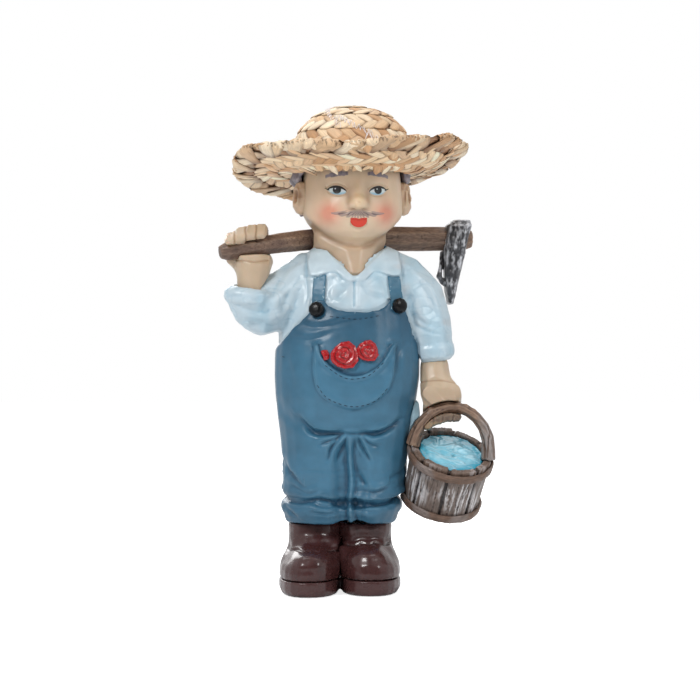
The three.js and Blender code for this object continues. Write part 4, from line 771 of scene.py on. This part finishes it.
def head():
    skin = skin_of(["head", "neck"], 0.85, relax=24, grow=0.16, finer=True)
    skin.push(-0.16)

    def face(p):
        u, v, w = in_head(p).T
        return (np.abs(u) < 16) & (v < -4) & (w > 3) & (w < 32)

    def features(p):
        u, v, w = in_head(p).T
        eyes = (np.abs(np.abs(u) - EYE_X) < 6) & (np.abs(w - EYE_Z) < 3.6)
        brows = (np.abs(np.abs(u) - EYE_X) < 6.4) & (np.abs(w - BROW_Z) < 3)
        lips = (np.abs(u) < 14.5) & (w > 4) & (w < 14.6)
        return (v < -4) & (eyes | brows | lips)

    for part in (face, features):
        closer(skin, part)
        skin.relax(2, keep=False, where=part(skin.p).astype(float))
    u, v, w = in_head(skin.p).T
    side = np.abs(u)
    front = ramp(-v, 3, 7)
    # eyes: creased lids with the balls between them
    s = side - EYE_X
    off = np.abs(s)
    upper = EYE_Z + 1.65 * dome(s, EYE_HALF) ** 0.7 + 0.1 * s
    lower = EYE_Z - 1.3 * dome(s, EYE_HALF) ** 0.8 + 0.1 * s
    inside = (off < EYE_HALF) & (w < upper) & (w > lower)
    lids = 0.4 * bump(w, upper + 1.4, 0.45) * (off < 4.6) + 0.22 * bump(w, lower - 0.7, 0.4) * (off < EYE_HALF)
    lift = front * 0.35 * inside * dome(s, 4.1) - front * lids
    # nose: a round tip, its wings and nostrils
    lift += front * (2.1 * bump(side, 0, 2.9) * bump(w, 16.0, 2.7) + 0.9 * bump(side, 0, 1.9) * bump(w, 20.8, 3.6))
    lift += front * (-0.5 * bump(side, 1.9, 0.7) * bump(w, 13.1, 0.5) + 0.6 * bump(side, 3.2, 1.1) * bump(w, 14.8, 1.2))
    jaw = -0.6 + 0.026 * u * u
    lift += ramp(-v, -4, 4) * (-0.9 * bump(w, jaw - 1.4, 1.2) + 0.3 * bump(w, jaw + 1.6, 1.6))
    # moustache: two wings that part under the nose
    half = 1.9 * np.clip(1 - (side / WING) ** 1.1, 0, 1) ** 0.8 + 0.2
    away = np.abs(w - (LIP_Z - 0.14 * side + 0.0125 * side * side))
    bristly = front * ((away < half) & (side < WING))
    strands = np.sin(np.arctan2(w - (LIP_Z + 2.2), side + 0.6) * 26 + 1.2 * noise(skin.p, 1.4, 3))
    edge = np.clip(1 - away / half, 0, 1)
    lift += bristly * (0.3 * edge**0.6 + 0.14 * strands * edge)
    # lips
    t = u - 0.3
    top_lip = MOUTH_Z + 1.7 - 0.35 * bump(t, 0, 0.8)
    low_lip = MOUTH_Z - 2.5 * dome(t, MOUTH_HALF) ** 0.6 + 0.3
    lips = front * ((np.abs(t) < MOUTH_HALF) & (w < top_lip) & (w > low_lip))
    lift += lips * 0.35 - front * 0.4 * bump(w, low_lip - 0.9, 0.6) * (np.abs(t) < 3.6)
    skin.push(lift)
    h = skin.hollow(14, settle=1)

    def spot(place, width, height, reach):
        return front * bump(side, place, width) * bump(w, height, reach)

    shade = ramp(-v, -4, 4) * bump(w, jaw - 1.8, 1.8) * (0.3 + 0.7 * ramp(side, 1, 10))
    brow_line = BROW_Z + 0.7 - 0.035 * s * s - 0.1 * s
    brush = 0.5 * layered(skin.p, (1.6, 1.6, 0.7), 2, 7)
    brow = front * (1 - ramp(np.abs(w - brow_line) / (1.2 - 0.1 * off) + brush, 0.7, 1.2)) * (off < 4.6)
    eye = front * inside
    rimmed = front * ((off < 3.6) & (w <= upper) & (w > lower - 0.35))
    iris = np.hypot(side - EYE_X + 0.1, w - EYE_Z - 0.35)
    spark = np.hypot(u - np.sign(u) * EYE_X + 0.55, w - EYE_Z - 0.9)
    lash = (np.abs(w - (upper + 0.05)) < 0.26 + 0.24 * dome(s, 4.2)) & (off < 3.9)
    tail = (s > 3.0) & (s < 4.9) & (np.abs(w - (EYE_Z + 0.45 + 0.42 * (s - 3.2))) < 0.32 - 0.11 * (s - 3.2))
    ragged = bristly * ramp(edge + 0.35 * strands, 0.0, 0.5)
    # paint over the skin: painted shade in the hollows, darker towards the sides and back, the brim's painted shadow on
    # the upper forehead, painted shade beside the nose, in the nostrils, round the eyes, under the jaw and on the neck,
    # a painted highlight on the nose, then the blush, brows, eyes with a painted glint in each, lashes, lips and
    # moustache
    colour = painted(
        (216, 192, 164),
        ((180, 146, 114), ramp(h, 0.01, 0.22) * 0.7),
        ((192, 168, 140), (1 - ramp(-v, 2, 12)) * 0.5),
        ((194, 172, 148), front * ramp(w, 24, 33) * 0.5),
        ((160, 130, 104), spot(4.0, 1.6, 18.4, 4.2) * 0.75),
        ((222, 198, 162), spot(0, 2.2, 17.2, 4.2) * 0.9),
        ((146, 112, 86), spot(2.2, 2.0, 12.9, 0.8) * 0.75),
        ((178, 156, 132), spot(EYE_X, 4.8, EYE_Z + 0.2, 3.2) * 0.7),
        ((212, 124, 102), front * np.clip(bump(side, 12.0, 4.4) * bump(w, 11.4, 4.8) * 1.2, 0, 1) * 0.72),
        ((160, 132, 106), shade * 0.75),
        ((176, 152, 128), ramp(jaw - 1 - w, 0, 3) * 0.75),
        ((142, 134, 142), brow),
        ((104, 98, 108), brow * ramp(noise(in_head(skin.p), (0.7, 4, 2.4), 5), 0.1, 0.6) * 0.7),
        ((206, 216, 218), eye),
        ((142, 190, 212), rimmed * ramp(EYE_Z - w, 0.2, 1.2) * 0.9),
        ((13, 14, 16), eye * (1 - ramp(iris, 1.6, 1.8))),
        ((52, 56, 60), eye * (1 - ramp(iris, 0.5, 1.1)) * 0.35),
        ((225, 230, 235), eye * (1 - ramp(spark, 0.2, 0.34))),
        ((24, 22, 24), front * (lash | tail)),
        ((208, 54, 28), lips),
        ((168, 36, 20), lips * bump(w, top_lip - 0.5, 0.5) * 0.6),
        ((146, 128, 124), ragged * 0.8),
        ((88, 76, 80), ragged * ramp(-strands, 0.0, 0.9) * 0.8),
    )
    nodes = ["head", "neck", "right_eye", "left_eye", "right_eyebrow", "left_eyebrow", "moustache", "mouth"]
    put("head_form", skin, "skin", colour, nodes)


def ears():
    for node, out in (("right_ear", -1), ("left_ear", 1)):
        skin = skin_of([node], 0.4, relax=30, grow=1.0)
        facing = skin.normals()
        a, b, c = ((skin.p - skin.p.mean(axis=0)) * (out, 1, 1)).T
        bowl = ramp(facing[:, 0] * out, 0.1, 0.6) * (1 - ramp(np.hypot(b / 2.6, (c - 0.8) / 4.6), 0.5, 1.0))
        trough = ramp(-facing[:, 1], 0.1, 0.7) * bump(a, -0.3 + 0.04 * c**2, 0.8) * bump(c, 1.2, 4.4)
        skin.push(-0.6 - 1.1 * bowl - 0.8 * trough)
        skin.p[:, 0] -= out * 1.3 * ramp(-a, 0.6, 2.4)
        h = skin.hollow(16, settle=2)
        # painted shade in the ear's hollows and trough, and on its side towards the head
        colour = painted(
            (206, 180, 152),
            ((150, 114, 88), np.maximum(ramp(h, 0.0, 0.35), trough) * 0.7),
            ((150, 118, 92), ramp(-a, 1.4, 2.6) * 0.7),
        )
        put(node + "_form", skin, "skin", colour, [node])


def hair():
    skin = skin_of(["hair"], 0.5, relax=8, grow=0.15)
    u, v, w = in_head(skin.p).T
    sway = 0.9 * noise(skin.p, 6, 3) + w * 0.09
    ridge = np.sin(np.arctan2(v, u) * 24 + sway * 3.2 + 0.6 * np.sin(w * 0.5))
    skin.push(0.42 * ridge + 0.25 * layered(skin.p, 2.2, 2, 8))
    h = skin.hollow(8, settle=1)
    light = ((168, 160, 166), ramp(-h, 0.05, 0.25) * 0.7)
    put("hair_form", skin, "hair", painted((128, 122, 130), ((66, 62, 72), ramp(h, -0.02, 0.22)), light), ["hair"])


# Hands

BAIL_X, BAIL_Z = 46.6, 59  # the middle of the bail's arch


def hands():
    for side in ("right", "left"):
        left = side == "left"
        nodes = [side + "_hand", side + "_forearm"]
        # swollen until the fingers melt together, smoothed and drawn back in
        skin = skin_of(nodes, 0.5, relax=20, grow=2.3)
        skin.relax(24, keep=False)
        skin.push(-1.75)
        skin.relax(6)
        z = skin.p[:, 2]
        skin.relax(40, keep=False, where=ramp(z, 82, 86) if left else ramp(143 - z, 0, 3))
        skin.finer()
        x, y, z = skin.p.T
        if left:
            # the hand stays behind the front of the bail, and no thumb shows
            y = np.where(y < -15, -15 + 0.15 * (y + 15), y)
            behind = 18 * np.abs(np.hypot((x - BAIL_X) / 16.8, (z - BAIL_Z) / 19.2) - 1)
            y += (1 - ramp(behind, 1.9, 2.8)) * (np.maximum(y, -8) - y)
            skin.p[:, 1] = y
            parting, shown = (39.4, 43.5, 47.7), ramp(76.5 - z, 0, 2)
            crease = 0.6 * bump(z, 89.4 - 0.02 * (x - 41) ** 2, 0.45) * ramp(-y, 4, 8)
        else:
            # nothing bridges the front of the handle
            level = z - 144.4 - 0.075 * (x + 51.6)
            bare = ramp(level, -3.2, -2.2) * (1 - ramp(level, 1.0, 2.0))
            skin.p[:, 1] = y + bare * (np.maximum(y, -10.5) - y)
            parting, shown = (-44.1, -39.6, -35.2), ramp(z, 145.5, 148)
            crease = 0.7 * bump(z, 139.6 + 0.015 * (x + 37) ** 2, 0.5) * ramp(-y, 8, 12) * (np.abs(x + 37) < 7)
        wander = x + 0.3 * noise(skin.p, 3, 6)
        crease = crease + shown * sum(bump(wander, at, 0.4) for at in parting)
        skin.push(0.35 * shown * sum(bump(x, at, 1.1) for at in parting))
        skin.push(-0.45 * crease + 0.12 * layered(skin.p, 3, 2, 14))
        h = skin.hollow(16, settle=1)
        # the left hand's fingers are in the shade of the bail
        under = left * ramp(76.5 - z, 0, 1.5)
        # painted shade in the creases and hollows, painted highlights on the ridges, a painted highlight along the
        # lowest fingertips under the bail, and painted shade over the rest of the left hand, deeper lower down
        colour = painted(
            (193, 171, 145),
            ((146, 110, 78), ramp(h, 0.02, 0.3) * 0.8),
            ((142, 104, 72), crease * 0.7),
            ((205, 185, 158), ramp(-h, 0.02, 0.3) * 0.5),
            ((86, 66, 54), under * (0.8 + 0.2 * ramp(h, -0.1, 0.1))),
            ((160, 136, 104), under * ramp(72.6 - z + 0.8 * noise(skin.p, 1.5, 9), 0, 1.2) * 0.6),
            ((176, 152, 128), left * ramp(90 - z, 0, 10) * (1 - under) * 0.6),
        )
        put(side + "_hand_form", skin, "skin", colour, nodes)


# Roses

def roses():
    for node, seed in (("large_rose", 1), ("small_rose", 2), ("rose_bud", 3)):
        low, high = (np.array(c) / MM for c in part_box(node))
        width = high[0] - low[0]
        skin = skin_of([node], 0.22, relax=8, grow=0.1)
        dx, dy, dz = (skin.p - (low + high) / 2).T
        r = np.hypot(dx, dz) / (width / 2)
        turn = np.arctan2(dz, dx) / (2 * np.pi)
        # the petals wind outwards, each one rising slowly to a steep edge
        wave = (r * 2.4 - turn + 0.12 * np.sin(turn * 2 * np.pi * 3 + seed)) % 1.0
        petal = np.where(wave < 0.8, wave / 0.8, (1 - wave) / 0.2)
        skin.push(ramp(-dy, -1.5, 0.5) * (0.62 * petal - 0.3) * min(1.0, width / 9))
        h = skin.hollow(8, settle=1)
        # painted shade in the hollows between the petals and painted highlights on their edges
        colour = painted((170, 10, 20), ((72, 4, 8), ramp(h, -0.02, 0.16)), ((198, 28, 36), ramp(-h, 0.04, 0.2) * 0.3))
        put(node + "_form", skin, "rose", colour, [node])


# Straw hat

CROWN_RADIUS, CROWN_HEIGHT, HAT_RADIUS, STRAW = 25.2, 27.2, 49.8, 1.5
HAT_ROOT = CHIN + HEAD_HEIGHT * 0.64
# how high the brim's edge stands, from one side of its back (-1) round the front (-0.5) to the other (1)
EDGE = np.array([
    (-1, -0.8), (-0.83, 6.6), (-0.67, 7.8), (-0.5, 7.2), (-0.2, 11.6), (0, 10.6), (0.25, 0.4), (0.5, -7.8),
    (0.75, -7.4), (0.88, -3.8), (1, -0.8),
])


def edge_height(v):
    """A smooth line through EDGE."""
    x, y = EDGE.T
    slope = np.gradient(y, x)
    v = np.clip(v, x[0], x[-1])
    k = np.clip(np.searchsorted(x, v, side="right") - 1, 0, len(x) - 2)
    w = x[k + 1] - x[k]
    t = (v - x[k]) / w
    a, b = 2 * t**3 - 3 * t**2 + 1, t**3 - 2 * t**2 + t
    return a * y[k] + b * w * slope[k] + (1 - a) * y[k + 1] + (t**3 - t**2) * w * slope[k + 1]


def hat_place(radius, angle, lift):
    share = np.maximum(0, (radius - CROWN_RADIUS) / (HAT_RADIUS - CROWN_RADIUS))
    edge = HAT_RADIUS + 0.8 * np.sin(4 * angle) + 0.5 * np.sin(7 * angle + 1)
    out = np.where(radius <= CROWN_RADIUS, radius, CROWN_RADIUS + (edge - CROWN_RADIUS) * share)
    wrapped = np.arctan2(np.sin(angle), np.cos(angle)) / np.pi
    height = HAT_ROOT + lift + (edge_height(wrapped) + 0.5 * np.sin(9 * angle)) * np.minimum(share, 1.05) ** 1.3
    return np.stack([HEAD_X - share + out * np.cos(angle), out * np.sin(angle), height], -1)


# half of the crown's section, as shares of its radius and height
CROWN_LINE = [
    (0, 1), (0.16, 0.995), (0.3, 0.975), (0.42, 0.945), (0.54, 0.9), (0.66, 0.84), (0.76, 0.76), (0.84, 0.685),
    (0.9, 0.6), (0.95, 0.5), (0.985, 0.38), (1.0, 0.2), (1.0, 0),
]


def profile_of(points):
    """A section's [radius, height] by the way along it, and its length."""
    p = np.asarray(points, float)
    length = way_along(p)
    return (lambda s: (np.interp(s, length, p[:, 0]), np.interp(s, length, p[:, 1]))), length[-1]


crown_at, CROWN_RUN = profile_of([(a * (CROWN_RADIUS - 0.3), b * (CROWN_HEIGHT - 0.5)) for a, b in CROWN_LINE])
HALF = STRAW / 2 - 0.3
rim = [(HAT_RADIUS - HALF + HALF * math.sin(t), HALF * math.cos(t)) for t in np.linspace(0, math.pi, 5)]
brim_at, BRIM_RUN = profile_of([(CROWN_RADIUS - 0.5, HALF), *rim, (CROWN_RADIUS - 3, -HALF)])
RIM_AT = HAT_RADIUS - HALF - CROWN_RADIUS + 0.5


def straw_surface(at, s, angle, lift):
    """A place on the hat and lift out of it. at gives the section's line, s the way along it."""

    def place(s, angle):
        radius, height = at(s)
        return hat_place(np.maximum(radius, 0.02), angle, height)

    along = place(s + 0.05, angle) - place(s - 0.05, angle)
    out = np.cross(along, place(s, angle + 0.01) - place(s, angle - 0.01))
    size = np.linalg.norm(out, axis=-1, keepdims=True)
    return place(s, angle) + out / np.maximum(size, 1e-9) * lift[..., None]


SHADES = [(228, 198, 160), (218, 182, 142), (242, 222, 192), (202, 158, 116), (216, 182, 146), (234, 208, 174)]


def straws():
    """Every strip of the plait: long, slightly domed ribbons laid like a herringbone in coils."""
    random = np.random.default_rng(11)
    parts, colours, grains = [], [], []
    columns, short = 5, 8

    def lay(at, s0, s1, angle, shift, width, level, steps=short, limits=None, tip=0.0, droop=0.0):
        """A strip from s0 to s1 along the section, which shifts round the hat and folds over at the limits."""
        u, v = (g.ravel() for g in np.meshgrid(np.linspace(0, 1, steps), np.linspace(-1, 1, columns), indexing="ij"))
        count = len(u)
        length = math.hypot(s1 - s0, shift)
        half = width / 2 * (1 - 0.15 * (2 * u - 1) ** 2 - tip * u**2)
        arc = shift * u + v * half * (s1 - s0) / length + random.normal(0, 0.25) * u
        low, high = limits or (min(s0, s1), max(s0, s1))
        s = np.clip(s0 + (s1 - s0) * u - v * half * shift / length, low, high)
        turn = angle + arc / np.maximum(at(s)[0], 2.0)
        lift = level + 0.5 * (s - low) / (high - low) + 0.26 * (1 - v**2) + 0.3 * np.sin(np.pi * u) - 0.42 * u**2
        lift = lift + random.normal(0, 0.08) + droop * u**1.5
        sheets = np.vstack([straw_surface(at, s, turn, lift - depth) for depth in (0, 0.3)])
        top = grid_faces(steps, columns)
        # the outline, once round
        ring = [*range(columns), *range(2 * columns - 1, count, columns)]
        ring += [*range(count - 2, count - columns - 1, -1), *range(count - 2 * columns, 0, -columns)]
        faces = [f[::-1] for f in top] + [tuple(count + i for i in f) for f in top]
        faces += [(a, b, count + b, count + a) for a, b in zip(ring, ring[1:] + ring[:1])]
        parts.append((sheets, faces))
        # each strip has its own tone of straw; strips under the brim are made lighter, as painted light from below
        shade = srgb(*SHADES[random.integers(len(SHADES))]) * (0.9 + 0.16 * random.random())
        if at is brim_at and s0 + s1 > 2 * RIM_AT + 4:
            shade = shade * 1.2
        # painted shade along the strips' edges and at the ends that tuck under their neighbours, and a darker copy of
        # each strip's colour on its underside as painted shade
        side = (0.8 if steps == short else 0.5) * ramp(np.abs(v), 0.7, 1.0) * (0.3 + 0.7 * random.random())
        tone = mixed(shade, srgb(112, 74, 52), 0.65 * ramp(u, 0.72, 1.0) * (tip == 0) + side)
        colours.extend([tone, tone * 0.55])
        grains.extend([np.stack([v * half, u * length / 14, np.full(count, random.random() * 99)], 1)] * 2)

    def rows(at, edges, level):
        for low, high in zip(edges, edges[1:]):
            middle, reach = (low + high) / 2, (high - low) / 2
            radius = max(float(at(middle)[0]), 4.0)
            pieces = max(4, round(2 * math.pi * radius / 5.6))
            start = random.random()
            strips = ((low - 0.8, middle + 0.35 * reach, 0.0), (high + 0.8, middle - 0.35 * reach, 0.5))
            for k in range(pieces):
                for s0, s1, later in strips:
                    angle = 2 * math.pi * (k + start + later + 0.1 * random.normal()) / pieces
                    width = 3.9 + 1.1 * random.random()
                    lay(at, s0, s1, angle, reach * 1.9, width, level, limits=(low - 0.2, high + 0.3))

    rows(crown_at, np.linspace(1.5, CROWN_RUN + 0.6, 6), 0.3)
    for k in range(5):
        lay(crown_at, 0.05, 3.6, k * 2 * math.pi / 5, 1.2, 3.6, 0.5)
    inner, outer = RIM_AT - 8.6, RIM_AT + 9.4
    rows(brim_at, np.linspace(0.6, inner, 3), 0.25)
    rows(brim_at, np.linspace(outer, BRIM_RUN - 0.6, 3), 0.2)
    # two layers of long strips cross each other over the rim
    limits = (inner - 4, outer + 4)
    for pieces, lean, level in ((48, 13, 0.1), (34, -12, 0.45)):
        for k in range(pieces):
            angle = 2 * math.pi * (k + 0.3 * random.normal()) / pieces
            slack = 1.5 * random.random(2)
            shift = lean + 2 * random.normal()
            width = 5.2 + 1.6 * random.random()
            height = level + 0.2 * random.random()
            lay(brim_at, inner + slack[0], outer - slack[1], angle, shift, width, height, steps=26, limits=limits)
    # loose ends all over the brim, and torn ones that hang over the forehead
    torn, loose = 20, 32
    for k in range(torn + loose):
        if k < torn:
            angle = -math.pi / 2 - 0.9 + 1.8 * (k + 0.6 * random.random()) / torn
            start, sag = BRIM_RUN - 7.5 + random.random(), 2.6
        else:
            angle = 2 * math.pi * random.random()
            start, sag = RIM_AT - 4 + 16 * random.random(), 0.9
        end = start + (5 + 1.5 * random.random())
        shift = random.normal(0, 3)
        width = 3.4 + 1.6 * random.random()
        lay(brim_at, start, end, angle, shift, width, 0.45, tip=0.7, droop=sag * random.random() ** 1.5)
    return mesh_from(*gathered(parts)), np.vstack(colours), np.vstack(grains)


def hat():
    mesh, colours, grains = straws()
    put("hat_plait", mesh, "straw", colours, grain=grains)
    # under the strips of the crown and the brim lies a darker brown sheet: painted shade that shows in the gaps between
    # the strips
    turns = np.linspace(0, 2 * np.pi, 96, endpoint=False)
    inwards = np.full(len(turns), -0.35)
    for node, at, run, steps in (("hat_crown", crown_at, CROWN_RUN, 16), ("hat_brim", brim_at, BRIM_RUN, 22)):
        ways = np.linspace(0.3, run, steps)
        p = np.vstack([straw_surface(at, np.full(len(turns), s), turns, inwards) for s in ways])
        colour = srgb(166, 124, 92) * (1 + 0.3 * layered(p, 3, 2, 4))[:, None]
        shade_sheet = mesh_from(p, grid_faces(steps, len(turns), closed=True))
        put(node + "_lining", shade_sheet, "straw", colour, [node], p)
    random = np.random.default_rng(5)
    parts = []
    runs = ((-2.75, -1.75, 7, 26), (-1.9, -1.2, 20, 30), (-1.35, -0.6, 30, 36), (-2.6, -1.6, 31, 36))
    for start, end, low, high in runs:
        zig = []
        for k, t in enumerate(np.linspace(0, 1, 26)):
            s = low + (high - low) * t + (1.5 if k % 2 else -1.5) * (0.6 + 0.6 * random.random())
            a = start + (end - start) * t + random.normal(0, 0.02)
            zig.append(straw_surface(crown_at, np.array([s]), np.array([a]), np.array([1.25]))[0])
        parts.append(tube(curve_through(zig, 150), 0.12, 5))
    put("hat_thread", mesh_from(*gathered(parts)), "shirt", srgb(235, 226, 224), slot="straw")


# Hoe

def hoe():
    skin = skin_of(["hoe_handle"], 0.45, relax=24)
    x = skin.p[:, 0]
    along = skin.p / (12, 1, 1)
    groove = cracks(noise(along, 2.0, 2), 0.06)
    skin.push(0.16 * layered(along, 1.1, 3, 5) + 0.3 * layered(skin.p, 11, 2, 8) - 0.22 * groove)
    h = skin.hollow(8, settle=1)
    colour = painted(
        (122, 97, 80),
        ((66, 48, 40), ramp(h, -0.03, 0.1)),
        ((152, 126, 104), ramp(-h, 0.02, 0.1) * 0.6),
        ((84, 62, 54), 0.6 * ramp(layered(along, 6, 2, 18), 0, 0.5)),
        ((62, 44, 40), bump(x, -12, 3.0) * 0.7 + ramp(-x, 50.5, 52.5) * 0.8),
    )
    put("hoe_handle_form", skin, "wood", colour, ["hoe_handle"], along)
    skin = skin_of(["hoe_head"], 0.4, relax=10)
    skin.push(0.22 * layered(skin.p / (1, 1, 2.2), 1.1, 2, 7) + 0.25 * layered(skin.p, 4, 2, 9))
    h = skin.hollow(6, settle=1)
    brushed = ramp(-h, 0.0, 0.07) * ramp(layered(skin.p, 3, 2, 21), -0.4, 0.15)
    scratched = 0.75 * ramp(layered(skin.p / (1, 1, 3), 0.6, 2, 33), 0.05, 0.35)
    scratched *= ramp(layered(skin.p, 4, 2, 5), -0.3, 0.2)
    bright = ((214, 215, 220), np.maximum(brushed, scratched) * 0.9)
    put("hoe_head_form", skin, "iron", painted((64, 64, 68), ((16, 16, 19), ramp(h, -0.03, 0.08)), bright), ["hoe_head"])


# Bucket

BUCKET = np.array([47.575, -12, 59.8])
TILT, ROLL = 0.51, 0.21
STAVE = math.pi / 4  # the angle from one stave's joint to the next


def in_bucket(p):
    """Places in the bucket's own frame, with its axis as the third one."""
    ct, st, cr, sr = math.cos(TILT), math.sin(TILT), math.cos(ROLL), math.sin(ROLL)
    lean = np.array([[1, 0, 0], [0, ct, -st], [0, st, ct]])
    roll = np.array([[cr, 0, sr], [0, 1, 0], [-sr, 0, cr]])
    return (p - BUCKET) @ (roll @ lean)


def bucket():
    skin = skin_of(["bucket_tub"], 0.42, relax=5)
    q = in_bucket(skin.p)
    a, b, up = q.T
    radius = np.hypot(a, b)
    side = ramp(radius, 13.6, 15)
    step = np.abs((np.arctan2(b, a) + math.pi / 2 + STAVE / 2) % STAVE - STAVE / 2)
    groove = bump(step * radius, 0, 0.6) * side
    wall = q / (1, 1, 14)
    bark = 0.22 * layered(wall, 1.1, 2, 3) - 0.35 * cracks(noise(wall, 2.2, 6), 0.08)
    skin.push(side * bark + (1 - side) * 0.2 * layered(skin.p, 1.4, 2, 4) - 0.5 * groove)
    h = skin.hollow(7, settle=1)
    patch = layered(q / (1, 1, 2), 5, 2, 13) + 0.6 * bump(up, -14, 7)
    dry = ramp(layered(wall, 0.55, 2, 23) + 0.5 * ramp(-h, 0, 0.1), 0.0, 0.4) * ramp(patch, -0.1, 0.5) * side
    colour = painted(
        (112, 98, 90),
        ((44, 34, 31), ramp(h, -0.02, 0.13)),
        ((206, 203, 204), dry * 0.9),
        ((104, 80, 64), ramp(up, -4.5, -2.5) * 0.6),
        ((34, 27, 26), groove * 0.85),
        ((76, 142, 158), (1 - ramp(radius, 13.6, 14.4)) * ramp(up, -7, -6) * 0.9),
    )
    put("bucket_tub_form", skin, "wood", colour, ["bucket_tub"], wall, slot="stave")
    for node in ("bucket_upper_hoop", "bucket_lower_hoop"):
        skin = skin_of([node], 0.35, relax=14, grow=0.15)
        a, b, up = in_bucket(skin.p).T
        angle = np.arctan2(b, a)
        band = np.stack([np.cos(angle) * 2.4, np.sin(angle) * 2.4 + np.hypot(a, b), up], 1)
        skin.push(0.16 * layered(band, 0.9, 3, 6) + 0.15 * layered(skin.p, 5, 2, 3))
        grey = ((136, 126, 122), ramp(layered(skin.p, 7, 2, 9), 0, 0.5) * 0.6)
        colour = painted((106, 82, 67), ((58, 44, 38), ramp(skin.hollow(8), -0.02, 0.12)), grey)
        put(node + "_form", skin, "wood", colour, [node], band)
    skin = skin_of(["bucket_bail"], 0.42, relax=20)
    x, y, z = skin.p.T
    out, up = x - BAIL_X, z - BAIL_Z
    arch = np.stack([np.hypot(out, up), y, np.arctan2(up, out) * 2.6], 1)
    skin.push(0.26 * layered(arch, 1.3, 2, 4) - 0.4 * cracks(noise(arch, 2.6, 8), 0.08))
    for knot in ((38, -13.6, 77.6), (53.5, -13.6, 78.6), (56.5, -13, 76)):
        skin.push(0.9 * np.exp(-((skin.p - knot) ** 2).sum(1) / 1.6))
    h = skin.hollow(8, settle=1)
    colour = painted(
        (112, 86, 69),
        ((52, 40, 35), ramp(h, -0.03, 0.14)),
        ((150, 124, 104), ramp(-h, 0.03, 0.14) * 0.6),
        ((150, 146, 146), ramp(x, 57, 62) * ramp(-h, -0.05, 0.1) * 0.7),
    )
    put("bucket_bail_form", skin, "wood", colour, ["bucket_bail"], arch)


def water():
    skin = skin_of(["bucket_water"], 0.4, relax=16, grow=0.15)
    q = in_bucket(skin.p)
    top = ramp(q[:, 2], -4.4, -2.8)
    warped = q + 1.6 * np.stack([noise(q, 5, 2), noise(q, 5, 3), q[:, 0] * 0], 1)
    crest = cracks(layered(warped / (2.4, 1, 1), 3.4, 2, 9), 0.13)
    skin.push(top * (0.3 * crest - 0.15 + 0.15 * layered(q, 2.5, 2, 5)))
    h = skin.hollow(8, settle=1)
    edge = ramp(np.hypot(q[:, 0], q[:, 1]) + 1.5 * noise(q, 4, 6), 8, 12.5)
    # darker teal towards the edge, pale paint on the crests, darker lines, and painted shade in the hollows
    colour = painted(
        (130, 204, 226),
        ((58, 164, 192), edge),
        ((196, 226, 235), crest * (1 - edge * 0.5) * 0.45),
        ((84, 146, 164), cracks(layered(warped / (2.8, 1, 1) + 20, 4.6, 2, 31), 0.05) * top * 0.6),
        ((56, 134, 156), ramp(h, 0.01, 0.15) * 0.5),
    )
    put("bucket_water_form", skin, "water", colour, ["bucket_water"])


boots()
stitches(overalls())
straps()
buttons()
shirt()
head()
ears()
hair()
hands()
roses()
hat()
hoe()
bucket()
water()
